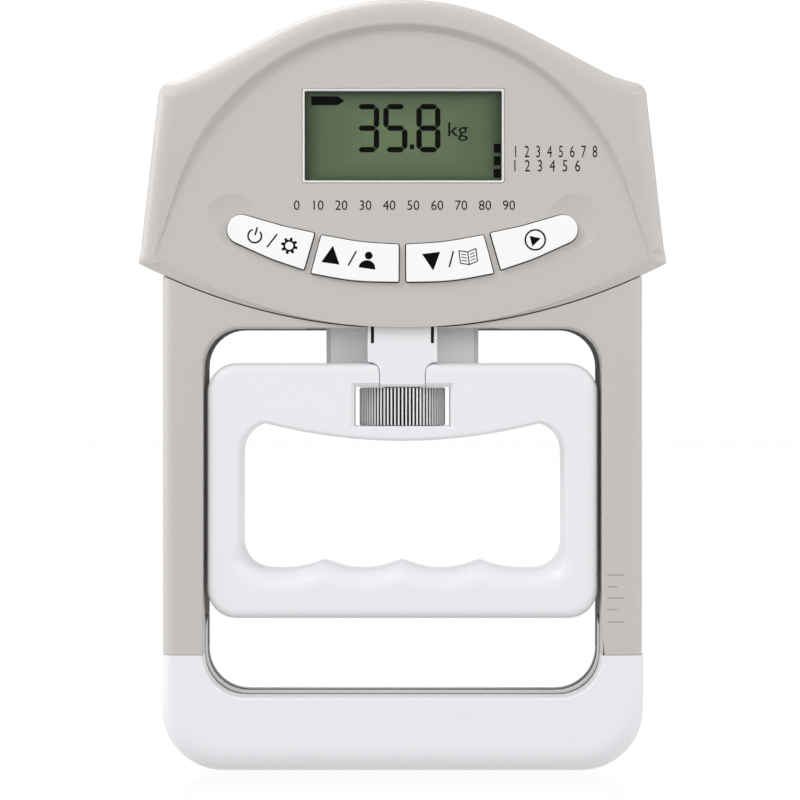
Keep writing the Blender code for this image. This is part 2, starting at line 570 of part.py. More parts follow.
def make_handle():
    handle_front = handle_blank("handle_front", -30, 0.35)
    cut(handle_front, block("stem_notch", (-TONGUE_HALF - GAP, TONGUE_HALF + GAP), (-30, -5.2), (94, 110)))
    handle_rear = handle_blank("handle_rear", 0.65, 30)
    for index, (x, z) in enumerate(HANDLE_SCREWS):
        screw_pair(handle_front, handle_rear, x, z, (-9.6, 0.5, 8.6, HANDLE_Y[1]), 2.3, 1.25, f"handle_screw_{index + 1}")
    carriage = make_carriage()
    pivot("span_axis", (0, ROD_Y, CARRIAGE_LOW), handle_front, handle_rear, carriage, *make_wheel())


# Battery bay

def make_batteries():
    tray = block("battery_tray", (-TRAY_HALF, TRAY_HALF), TRAY_Y, (TRAY_LOW, TRAY_HIGH), RUBBER)
    cut(tray, block("tray_room", (-TRAY_HALF + 1.2, TRAY_HALF - 1.2), (TRAY_Y[0] + 1.2, 20),
                    (TRAY_LOW + 1.2, TRAY_HIGH - 1.2)))
    for index, z in enumerate(BATTERY_Z):
        side = 1 if index == 0 else -1
        start = side * -20.2
        end = start + side * BATTERY_LENGTH
        cell = cylinder(f"battery_{index + 1}", CELL_RADIUS, (start, BATTERY_Y, z), (end, BATTERY_Y, z), WRAP, sides=20)
        join(cell, cylinder(f"battery_nub_{index}", 1.9, (end - side, BATTERY_Y, z), (end + side * 0.8, BATTERY_Y, z), sides=12))
        turns, per_turn, wire_radius = 4, 8, 3.2
        coil = []
        for step in range(turns * per_turn + 1):
            angle = 2 * math.pi * step / per_turn
            along = start - side * (0.9 + 4.6 * step / (turns * per_turn))
            coil.append((along, BATTERY_Y + wire_radius * math.cos(angle), z + wire_radius * math.sin(angle)))
        tube(f"battery_spring_{index + 1}", coil, 0.35, STEEL)
        plate_x = sorted((side * 25.6, side * 26.1))
        block(f"battery_contact_{index + 1}", plate_x, (BATTERY_Y - 4, BATTERY_Y + 4), (z - 4, z + 4), STEEL)
    door = block("battery_door", (-DOOR_HALF, DOOR_HALF), (13.0, BACK_Y), (DOOR_LOW, DOOR_HIGH), GREY)
    for index in range(4):
        z = 160.5 + 1.4 * index
        cut(door, block(f"door_grip_{index}", (-6.0, 6.0), (14.5, 17), (z, z + 0.7)))
    pivot("door_axis", (0, 14.5, DOOR_LOW + 0.5), door)


def smooth_route(points, steps):
    """Points of a Catmull-Rom curve through the given ones."""
    ends = [points[0], *points, points[-1]]
    route = []
    for index in range(1, len(ends) - 2):
        a, b, c, d = (Vector(p) for p in ends[index - 1:index + 3])
        for step in range(steps):
            t = step / steps
            route.append(tuple(0.5 * (2 * b + (c - a) * t + (2 * a - 5 * b + 4 * c - d) * t ** 2
                                      + (3 * b - a - 3 * c + d) * t ** 3)))
    return [*route, points[-1]]


def make_leads():
    gauge = [(18.6, 0.9, 135.6), (22.0, -0.8, 136.2), (23.0, -2.6, 139.0), (22.0, -3.6, 143.0), (20.0, -4.2, 147.0)]
    tube("cell_lead", smooth_route(gauge, 5), 0.45, RUBBER)
    feed = [(-29.2, 2.0, 158.4), (-31.0, 0.5, 158.0), (-31.6, -2.0, 156.0), (-31.0, -3.6, 153.0), (-30.0, -4.2, 150.0)]
    tube("battery_lead", smooth_route(feed, 5), 0.45, RUBBER)


cover_piece = make_cover()
front_piece, rear_piece, grip_front_piece, grip_rear_piece = make_shells()
for number, (screw_x, screw_z) in enumerate(CASE_SCREWS):
    screw_pair(cover_piece, rear_piece, screw_x, screw_z, (-11.5, SPLIT_Y, 11.5, BACK_Y), 2.8, 1.5,
               f"case_screw_{number + 1}")
for number, (screw_x, screw_z) in enumerate(PALM_SCREWS):
    screw_pair(grip_front_piece, grip_rear_piece, screw_x, screw_z, (-11.0, SPLIT_Y, 11.5, BACK_Y), 2.8, 1.5,
               f"grip_screw_{number + 1}")
make_chassis()
make_display()
make_buttons()
make_load_cell()
make_handle()
make_batteries()
make_leads()
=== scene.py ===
import json
import math

import bmesh
import bpy
import numpy as np
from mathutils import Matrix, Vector


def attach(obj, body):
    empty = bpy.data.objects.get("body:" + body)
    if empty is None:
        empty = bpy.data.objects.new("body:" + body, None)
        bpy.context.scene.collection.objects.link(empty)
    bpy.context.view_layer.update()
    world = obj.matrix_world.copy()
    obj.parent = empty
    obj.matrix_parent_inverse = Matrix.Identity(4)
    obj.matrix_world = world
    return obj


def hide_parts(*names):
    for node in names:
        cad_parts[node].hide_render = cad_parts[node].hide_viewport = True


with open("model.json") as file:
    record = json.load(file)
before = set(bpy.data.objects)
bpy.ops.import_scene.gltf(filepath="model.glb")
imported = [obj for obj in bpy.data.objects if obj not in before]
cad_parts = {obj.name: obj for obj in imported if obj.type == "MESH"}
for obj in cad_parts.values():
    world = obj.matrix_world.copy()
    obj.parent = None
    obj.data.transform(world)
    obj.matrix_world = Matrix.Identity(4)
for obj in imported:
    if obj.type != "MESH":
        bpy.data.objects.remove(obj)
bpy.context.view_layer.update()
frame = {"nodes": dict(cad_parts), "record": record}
nodes = frame["nodes"]
mm = 0.001

# Shared measures in millimetres: x across, y back from the front, z up
frontY = {"face": -12.8, "leg": -12.0, "split": 1.85, "coverBack": -3.9}
rearY = {"split": 2.15, "back": 15.0}
headTop = (0.0, 199.0, 64.5)
headRight = [(52.4, 171.2, 30.0), (59.8, 169.4, 3.2), (65.0, 125.4, 0.5)]
headLow = (0.0, 96.3, 140.0)
faceCorners = [(0.0, 318.0, 58.65), (61.0, 127.3, 1.5), (0.0, 93.5, 115.4), (-61.0, 127.3, 1.5)]
legHalf, baseRadius = 59.2, 15.0
junctionZ = headRight[2][1] - (headRight[2][0] - legHalf) * math.tan(math.radians(24))
openingCorners = [(-49.1, 109.5, 9.2), (49.1, 109.5, 9.2), (49.1, 18.6, 10.3), (-49.1, 18.6, 10.3)]
gripTop = 29.0


# Materials

def shaderOf(name, color, roughness, metallic=0.0):
    made = bpy.data.materials.new(name)
    made.use_nodes = True
    shader = made.node_tree.nodes["Principled BSDF"]
    shader.inputs["Base Color"].default_value = (*color, 1.0)
    shader.inputs["Roughness"].default_value = roughness
    shader.inputs["Metallic"].default_value = metallic
    made.diffuse_color = (*color, 1.0)
    return made, made.node_tree, shader


def grained(name, color, roughness, grain=0.0, scale=2500.0, metallic=0.0, coat=0.0):
    made, tree, shader = shaderOf(name, color, roughness, metallic)
    shader.inputs["Coat Weight"].default_value = coat
    shader.inputs["Coat Roughness"].default_value = 0.12
    if grain:
        place = tree.nodes.new("ShaderNodeTexCoord")
        noise = tree.nodes.new("ShaderNodeTexNoise")
        noise.inputs["Scale"].default_value = scale
        noise.inputs["Detail"].default_value = 2.0
        bump = tree.nodes.new("ShaderNodeBump")
        bump.inputs["Strength"].default_value = grain
        bump.inputs["Distance"].default_value = 0.0001
        tree.links.new(place.outputs["Object"], noise.inputs["Vector"])
        tree.links.new(noise.outputs["Fac"], bump.inputs["Height"])
        tree.links.new(bump.outputs["Normal"], shader.inputs["Normal"])
    return made


looks = {
    "warm_grey_plastic": grained("greyPlastic", (0.535, 0.508, 0.488), 0.42, 0.06),
    "white_plastic": grained("whitePlastic", (0.80, 0.808, 0.83), 0.34, 0.03),
    "button_white": grained("keyWhite", (0.93, 0.93, 0.93), 0.12, coat=0.6),
    "black_steel": grained("blackSteel", (0.012, 0.012, 0.014), 0.4, 0.05, metallic=0.3),
    "liner_grey": grained("linerGrey", (0.62, 0.63, 0.65), 0.35),
    "black_rubber": grained("blackRubber", (0.008, 0.008, 0.009), 0.6, 0.08),
    "circuit_board": grained("boardGreen", (0.03, 0.17, 0.08), 0.35, 0.1, 900.0),
    "brass": grained("brassMetal", (0.75, 0.56, 0.27), 0.25, metallic=1.0),
    "plain_steel": grained("steelMetal", (0.58, 0.58, 0.60), 0.28, 0.03, metallic=1.0),
    "aluminium": grained("aluminiumMetal", (0.72, 0.73, 0.74), 0.35, 0.08, 1200.0, metallic=1.0),
    "battery_wrap": grained("batteryWrap", (0.07, 0.11, 0.2), 0.3, coat=0.3),
    "gauge_film": grained("gaugeFilm", (0.70, 0.44, 0.12), 0.35),
}
inkBlack = grained("printInk", (0.006, 0.006, 0.006), 1.0)
inkBlack.node_tree.nodes["Principled BSDF"].inputs["Specular IOR Level"].default_value = 0.0
slotBlack = grained("slotShadow", (0.003, 0.003, 0.003), 0.9)
# A lighter copy of the white plastic: painted light for the guide plate, against the shade of its recess
plateLitWhite = grained("plateLitWhite", (0.93, 0.93, 0.95), 0.34)
# Lighter than the grey plastic the display frame is made of: painted highlight for the light line round the window
frameWhite = grained("windowFrame", (0.80, 0.80, 0.79), 0.25)


def lcdMaterial():
    # Green with painted shade that darkens towards the edges, where the recess round the panel shades it: edge = max(|x
    # - cx| / half width, |z - cz| / half height)
    made, tree, shader = shaderOf("lcdGreen", (0.105, 0.155, 0.078), 0.35)
    place = tree.nodes.new("ShaderNodeTexCoord")
    apart = tree.nodes.new("ShaderNodeSeparateXYZ")
    tree.links.new(place.outputs["Object"], apart.inputs["Vector"])

    def share(socket, middle, half):
        shift = tree.nodes.new("ShaderNodeMath")
        shift.operation = "SUBTRACT"
        shift.inputs[1].default_value = middle * mm
        size = tree.nodes.new("ShaderNodeMath")
        size.operation = "ABSOLUTE"
        ratio = tree.nodes.new("ShaderNodeMath")
        ratio.operation = "DIVIDE"
        ratio.inputs[1].default_value = half * mm
        tree.links.new(apart.outputs[socket], shift.inputs[0])
        tree.links.new(shift.outputs[0], size.inputs[0])
        tree.links.new(size.outputs[0], ratio.inputs[0])
        return ratio.outputs[0]

    most = tree.nodes.new("ShaderNodeMath")
    most.operation = "MAXIMUM"
    tree.links.new(share("X", 0.2, 24.7), most.inputs[0])
    tree.links.new(share("Z", 156.8, 11.5), most.inputs[1])
    # The ramp paints the shade: full green in the middle, near-black at the panel's edges
    ramp = tree.nodes.new("ShaderNodeValToRGB")
    ramp.color_ramp.elements[0].position = 0.25
    ramp.color_ramp.elements[0].color = (0.125, 0.180, 0.092, 1)
    ramp.color_ramp.elements[1].position = 1.0
    ramp.color_ramp.elements[1].color = (0.028, 0.042, 0.022, 1)
    middle = ramp.color_ramp.elements.new(0.82)
    middle.color = (0.088, 0.130, 0.066, 1)
    tree.links.new(most.outputs[0], ramp.inputs["Fac"])
    tree.links.new(ramp.outputs["Color"], shader.inputs["Base Color"])
    return made


def windowMaterial():
    # Clear sheet: mostly see-through, with a thin even gloss
    made, tree, shader = shaderOf("clearWindow", (0.02, 0.02, 0.02), 0.06)
    clear = tree.nodes.new("ShaderNodeBsdfTransparent")
    clear.inputs["Color"].default_value = (0.97, 0.98, 0.96, 1)
    mix = tree.nodes.new("ShaderNodeMixShader")
    mix.inputs["Fac"].default_value = 0.02
    out = tree.nodes["Material Output"]
    tree.links.new(clear.outputs[0], mix.inputs[1])
    tree.links.new(shader.outputs[0], mix.inputs[2])
    tree.links.new(mix.outputs[0], out.inputs["Surface"])
    return made


def chromeMaterial():
    # Painted highlight and painted shade: bright ribs, near-black grooves, from the piece's own rib attribute
    made, tree, shader = shaderOf("knurledChrome", (0.8, 0.8, 0.8), 0.35, 0.35)
    shader.inputs["Specular IOR Level"].default_value = 0.1
    rib = tree.nodes.new("ShaderNodeAttribute")
    rib.attribute_name = "rib"
    ramp = tree.nodes.new("ShaderNodeValToRGB")
    ramp.color_ramp.elements[0].position = 0.35
    ramp.color_ramp.elements[0].color = (0.004, 0.004, 0.005, 1)
    ramp.color_ramp.elements[1].position = 0.65
    ramp.color_ramp.elements[1].color = (0.88, 0.88, 0.89, 1)
    tree.links.new(rib.outputs["Fac"], ramp.inputs["Fac"])
    tree.links.new(ramp.outputs["Color"], shader.inputs["Base Color"])
    return made


looks["display_glass"] = lcdMaterial()
looks["display_window"] = windowMaterial()
looks["chrome"] = chromeMaterial()


# Outlines: arrays of (x, z), clockwise

def filleted(corners, steps=8, longest=4.0):
    # Arc about here + bisector * R / sin(half angle), and long sides split evenly
    points = []
    count = len(corners)
    for index, (x, z, radius) in enumerate(corners):
        here = np.array([x, z])
        back = np.array(corners[index - 1][:2]) - here
        on = np.array(corners[(index + 1) % count][:2]) - here
        back, on = back / np.linalg.norm(back), on / np.linalg.norm(on)
        if radius < 0.05:
            points.append(here)
            continue
        half = math.acos(float(np.clip(back @ on, -1, 1))) / 2
        middle = (back + on) / np.linalg.norm(back + on)
        centre = here + middle * radius / math.sin(half)
        first = here + back * radius / math.tan(half) - centre
        last = here + on * radius / math.tan(half) - centre
        turn = math.atan2(first[0] * last[1] - first[1] * last[0], float(first @ last))
        pieces = max(steps, int(abs(turn) * radius / longest))
        for t in np.linspace(0, turn, pieces + 1):
            c, s = math.cos(t), math.sin(t)
            points.append(centre + np.array([c * first[0] - s * first[1], s * first[0] + c * first[1]]))
    loop = []
    for a, b in zip(points, points[1:] + points[:1]):
        parts = max(1, int(np.linalg.norm(b - a) / longest))
        for t in range(parts):
            loop.append(a + (b - a) * t / parts)
    return np.array(loop)


def rectangle(x, z, halfX, halfZ, radius=0.0):
    return [(x - halfX, z + halfZ, radius), (x + halfX, z + halfZ, radius),
            (x + halfX, z - halfZ, radius), (x - halfX, z - halfZ, radius)]


def mirrored(right):
    return [(-x, z, r) for x, z, r in reversed(right)]


def outward(loop):
    # Mitred normal of a clockwise outline: 2 m / |m|^2, with m the sum of both sides' normals
    sides = np.roll(loop, -1, 0) - loop
    normals = np.stack([-sides[:, 1], sides[:, 0]], 1)
    normals /= np.maximum(1e-9, np.linalg.norm(normals, axis=1))[:, None]
    total = normals + np.roll(normals, 1, 0)
    return 2 * total / np.maximum(0.6, (total ** 2).sum(1))[:, None]


def row(loop, grow, y, away=None):
    # The outline moved out by grow and stood at depth y; both may vary along it
    away = outward(loop) if away is None else away
    moved = loop + away * np.broadcast_to(grow, (len(loop),))[:, None]
    return np.stack([moved[:, 0], np.broadcast_to(y, (len(loop),)), moved[:, 1]], 1)


def angleSet(centre, loops, widest=0.035, closest=0.0012):
    # Every outline's own corner directions as seen from the centre, with wide gaps filled
    angles = [np.arctan2(loop[:, 1] - centre[1], loop[:, 0] - centre[0]) for loop in loops]
    angles = np.sort(np.concatenate(angles))
    kept = [angles[0]]
    for angle in angles[1:]:
        if angle - kept[-1] > closest:
            kept.append(angle)
    filled = []
    for a, b in zip(kept, kept[1:] + [kept[0] + 2 * math.pi]):
        parts = max(1, math.ceil((b - a) / widest))
        filled.extend(a + (b - a) * t / parts for t in range(parts))
    return np.array(filled)


def onRays(points, centre, angles):
    # Where the ray at each angle meets the outline: r = (p x s) / (direction x s) on the side p + t s
    flat = points[::-1]
    rel = flat[:, [0, 2]] - np.array(centre)
    turn = np.unwrap(np.arctan2(rel[:, 1], rel[:, 0]))
    turn = np.maximum.accumulate(turn)
    asked = turn[0] + np.mod(angles - turn[0], 2 * math.pi)
    index = np.clip(np.searchsorted(turn, asked, side="right") - 1, 0, len(turn) - 1)
    after = (index + 1) % len(turn)
    p, s = rel[index], rel[after] - rel[index]
    direction = np.stack([np.cos(angles), np.sin(angles)], 1)
    below = direction[:, 0] * s[:, 1] - direction[:, 1] * s[:, 0]
    below = np.where(np.abs(below) < 1e-9, 1e-9, below)
    reach = (p[:, 0] * s[:, 1] - p[:, 1] * s[:, 0]) / below
    hit = direction * reach[:, None]
    along = ((hit - p) * s).sum(1) / np.maximum(1e-12, (s ** 2).sum(1))
    along = np.clip(along, 0, 1)
    depth = flat[index, 1] * (1 - along) + flat[after, 1] * along
    return np.stack([hit[:, 0] + centre[0], depth, hit[:, 1] + centre[1]], 1)


def quarter(steps):
    # Pairs (1 - cos a, 1 - sin a): from the side of a fillet round to its face
    return [(1 - math.cos(a), 1 - math.sin(a)) for a in np.linspace(0, math.pi / 2, steps + 1)]


# Meshes

def finished(name, mesh, look, sharp=32.0):
    obj = bpy.data.objects.new(name, mesh)
    bpy.context.scene.collection.objects.link(obj)
    work = bmesh.new()
    work.from_mesh(mesh)
    bmesh.ops.recalc_face_normals(work, faces=work.faces)
    work.to_mesh(mesh)
    work.free()
    mesh.materials.clear()
    if look:
        mesh.materials.append(look)
    mesh.shade_smooth()
    mesh.set_sharp_from_angle(angle=math.radians(sharp))
    return obj


def gridMesh(name, rows, closeRows=False, capped=False):
    # Rows of points joined in quads, round each row and from row to row
    points = np.asarray(rows, float)
    rowCount, columnCount = points.shape[:2]
    v = np.arange(rowCount if closeRows else rowCount - 1)[:, None]
    u = np.arange(columnCount)[None, :]
    nextV, nextU = (v + 1) % rowCount, (u + 1) % columnCount
    corners = [v * columnCount + u, v * columnCount + nextU, nextV * columnCount + nextU, nextV * columnCount + u]
    faces = np.stack(np.broadcast_arrays(*corners), -1).reshape(-1, 4).tolist()
    if capped:
        faces.append(list(range(columnCount))[::-1])
        faces.append(list(range((rowCount - 1) * columnCount, rowCount * columnCount)))
    mesh = bpy.data.meshes.new(name)
    mesh.from_pydata((points.reshape(-1, 3) * mm).tolist(), [], faces)
    return mesh


def ringPiece(name, rows, centre, angles, look):
    # A closed loop of rows, each read along the same rays
    return finished(name, gridMesh(name, [onRays(r, centre, angles) for r in rows], closeRows=True), look)


def slab(name, loop, front, back, look=None, edge=0.0, steps=3, backEdge=0.0):
    # An outline from front to back, with rounded edges
    rows = []
    if edge:
        rows += [row(loop, -edge * a, front + edge * b) for a, b in reversed(quarter(steps))]
    else:
        rows.append(row(loop, 0, front))
    if backEdge:
        rows += [row(loop, -backEdge * a, back - backEdge * b) for a, b in quarter(steps)]
    else:
        rows.append(row(loop, 0, back))
    return finished(name, gridMesh(name, rows, capped=True), look)


def box(name, x, y, z, look=None, edge=0.0):
    loop = filleted(rectangle((x[0] + x[1]) / 2, (z[0] + z[1]) / 2, (x[1] - x[0]) / 2, (z[1] - z[0]) / 2), longest=1e3)
    return slab(name, loop, *y, look, edge, 2)


def roundBar(name, x, z, radius, front, back, look=None, edge=0.0, sides=48):
    turn = np.linspace(0, 2 * math.pi, sides, endpoint=False)
    loop = np.stack([x + radius * np.sin(turn), z + radius * np.cos(turn)], 1)
    return slab(name, loop, front, back, look, edge)


def carve(obj, tools, operation="DIFFERENCE", sharp=32.0):
    # Each tool cuts, joins or trims the piece, and is then gone
    for tool in tools:
        change = obj.modifiers.new("carve", "BOOLEAN")
        change.operation = operation
        change.solver = "EXACT"
        change.object = tool
    bpy.context.view_layer.update()
    graph = bpy.context.evaluated_depsgraph_get()
    mesh = bpy.data.meshes.new_from_object(obj.evaluated_get(graph))
    old = obj.data
    obj.modifiers.clear()
    obj.data = mesh
    look = old.materials[0] if old.materials else None
    bpy.data.meshes.remove(old)
    for tool in tools:
        bpy.data.meshes.remove(tool.data)
    mesh.materials.clear()
    if look:
        mesh.materials.append(look)
    for polygon in mesh.polygons:
        polygon.material_index = 0
    mesh.shade_smooth()
    mesh.set_sharp_from_angle(angle=math.radians(sharp))
    return obj


def weigh(obj):
    # Flat faces keep their own normals beside the small fillets
    change = obj.modifiers.new("weighted", "WEIGHTED_NORMAL")
    change.keep_sharp = True
    change.weight = 60


def give(obj, body, slotName, *replaced):
    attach(obj, body)
    if replaced:
        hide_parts(*replaced)
    return obj


# Frame shells and palm grip, read along rays from a point from which every outline shows

frameCentre = (0.0, 100.0)
frameRight = [*headRight, (legHalf, junctionZ, 0.6), (legHalf, 0.0, baseRadius)]
frameLoop = filleted([headTop, *frameRight, *mirrored(frameRight)])
headLoop = filleted([headTop, *headRight, headLow, *mirrored(headRight)])
openingLoop = filleted(openingCorners, 10)

shell = {"wall": 2.0, "edge": 3.2, "lip": 0.7, "grooveFront": -3.8, "grooveBack": 13.4, "seam": 0.1,
         "bossRadius": 4.1, "wellRadius": 3.1, "wellFloor": 11.2}
palm = {"proud": 0.28, "sideEdge": 3.2, "baseEdge": 6.0, "baseRadius": 15.2}


def shellRows(outer, edge, face, split, wallEnd):
    # Outer side, rounded edge, face, lip of the opening, its wall, and back inside the hollow
    to = -1 if face < split else 1
    rows = [row(outer, 0, split)]
    rows += [row(outer, -edge * a, face - to * edge * b) for a, b in quarter(6)]
    rows.append(row(outer, -edge - 0.5, face))
    lip = shell["lip"]
    rows.append(row(openingLoop, lip + 0.5, face))
    rows += [row(openingLoop, lip * a, face - to * lip * b) for a, b in reversed(quarter(3))]
    inner = face - to * shell["wall"]
    rows.append(row(openingLoop, 0, wallEnd))
    rows.append(row(openingLoop, shell["wall"], wallEnd))
    if abs(wallEnd - inner) > 0.5:
        rows.append(row(openingLoop, shell["wall"], inner))
    rows.append(row(outer, -np.maximum(edge, shell["wall"] + 0.6), inner))
    rows.append(row(outer, -shell["wall"] - 0.6, inner - to * 1.5))
    rows.append(row(outer, -shell["wall"] - 0.6, split))
    return rows


caseScrews = [(44.0, 166.0), (-44.0, 166.0), (52.5, 141.5), (-52.5, 141.5)]
gripScrews = [(-30.0, 7.2), (30.0, 7.2)]


def screwBoss(x, z):
    return roundBar("boss", x, z, shell["bossRadius"], rearY["split"], rearY["back"] - 1.0)


def screwWell(x, z):
    return roundBar("well", x, z, shell["wellRadius"], shell["wellFloor"], rearY["back"] + 1.0)


def makeShells():
    angles = angleSet(frameCentre, [frameLoop, openingLoop])
    half = shell["seam"] / 2
    frontRows = shellRows(frameLoop, shell["edge"], frontY["leg"], frontY["split"], shell["grooveFront"])
    front = ringPiece("shellFront", frontRows, frameCentre, angles, looks["warm_grey_plastic"])
    carve(front, [box("trim", (-80, 80), (-30, 30), (gripTop + half, 220))], "INTERSECT")
    headRoom = slab("headRoom", headLoop + outward(headLoop) * 0.3, -20, frontY["coverBack"] + 0.3)
    guideRoom = box("guideRoom", (-24, 24), (-8.8, 4), (105, 115))
    stemRoom = box("stemRoom", (-9.0, 9.0), (-13, 4), (105, 115.3))
    carve(front, [headRoom])
    carve(front, [guideRoom])
    carve(front, [stemRoom])
    lines = [(48.7, 3.9), (45.8, 2.2), (43.0, 3.9), (40.2, 2.2), (37.1, 3.9)]
    carve(front, [box("line", (50.6, 50.6 + length), (frontY["leg"] - 1, frontY["leg"] + 0.25), (z - 0.17, z + 0.17))
                  for z, length in lines])
    weigh(give(front, "frame", "warm_grey_plastic", "front_shell"))

    rearRows = shellRows(frameLoop, shell["edge"], rearY["back"], rearY["split"], shell["grooveBack"])
    rear = ringPiece("shellRear", rearRows, frameCentre, angles, looks["warm_grey_plastic"])
    carve(rear, [box("trim", (-80, 80), (-30, 30), (gripTop + half, 220))], "INTERSECT")
    carve(rear, [box("doorHole", (-31.3, 31.3), (12.7, 17), (136.7, 168.3))])
    carve(rear, [screwBoss(x, z) for x, z in caseScrews], "UNION")
    carve(rear, [screwWell(x, z) for x, z in caseScrews])
    weigh(give(rear, "frame", "warm_grey_plastic", "rear_shell"))

    palmHalf = legHalf + palm["proud"]
    palmLoop = filleted([(-palmHalf, 160.0, 4.0), (palmHalf, 160.0, 4.0), (palmHalf, 0.0, palm["baseRadius"]),
                         (-palmHalf, 0.0, palm["baseRadius"])], 14)
    palmAngles = angleSet(frameCentre, [palmLoop, openingLoop])
    low = np.clip((20.0 - palmLoop[:, 1]) / 18.0, 0, 1)
    edge = palm["sideEdge"] + (palm["baseEdge"] - palm["sideEdge"]) * low * low * (3 - 2 * low)
    for name, face, split, wallEnd, node in (
            ("palmGripFront", frontY["leg"] - palm["proud"], frontY["split"], shell["grooveFront"], "palm_grip_front"),
            ("palmGripRear", rearY["back"], rearY["split"], shell["grooveBack"], "palm_grip_rear")):
        grip = ringPiece(name, shellRows(palmLoop, edge, face, split, wallEnd), frameCentre, palmAngles,
                         looks["white_plastic"])
        carve(grip, [box("trim", (-80, 80), (-30, 30), (-5, gripTop - half))], "INTERSECT")
        if node == "palm_grip_rear":
            carve(grip, [screwBoss(x, z) for x, z in gripScrews], "UNION")
            carve(grip, [screwWell(x, z) for x, z in gripScrews])
        weigh(give(grip, "frame", "white_plastic", node))
    print("shells done")


# Head cover: dished face, tapering rim and rounded flank

cover = {"centre": (0.0, 150.0), "rimDepth": 2.2, "lowDepth": 0.12, "flank": 4.4, "flankDepth": 3.6,
         "lowDrop": 0.85, "wall": 2.0, "side": 3.0, "sharp": 13.0}
lcd = {"x": 0.2, "z": 156.8, "halfX": 24.2, "halfZ": 10.95}
dimple = {"x": 42.0, "z": 135.6, "radius": 6.8, "depth": 1.3}
innerKey = [(0.9, 130.0, 0.3), (10.0, 130.5, 60.0), (19.9, 132.3, 0.3), (22.4, 122.95, 0.3), (12.0, 121.0, 60.0),
            (0.95, 120.8, 0.3)]
outerKey = [(21.6, 132.8, 0.3), (29.5, 134.5, 40.0), (41.8, 138.1, 3.4), (43.8, 131.75, 3.4), (32.0, 126.4, 40.0),
            (24.2, 123.8, 0.3)]
keys = {"button_set": mirrored(outerKey), "button_up": mirrored(innerKey), "button_down": innerKey,
        "button_start": outerKey}


def ease(value, low, high):
    t = np.clip((value - low) / (high - low), 0, 1)
    return t * t * (3 - 2 * t)


def sphere(name, x, y, z, radius):
    across, around = np.linspace(0.02, math.pi - 0.02, 40), np.linspace(0, 2 * math.pi, 96, endpoint=False)
    a, b = np.meshgrid(across, around, indexing="ij")
    points = np.stack([x + radius * np.sin(a) * np.cos(b), y + radius * np.cos(a),
                       z + radius * np.sin(a) * np.sin(b)], -1)
    return finished(name, gridMesh(name, points, capped=True), None)


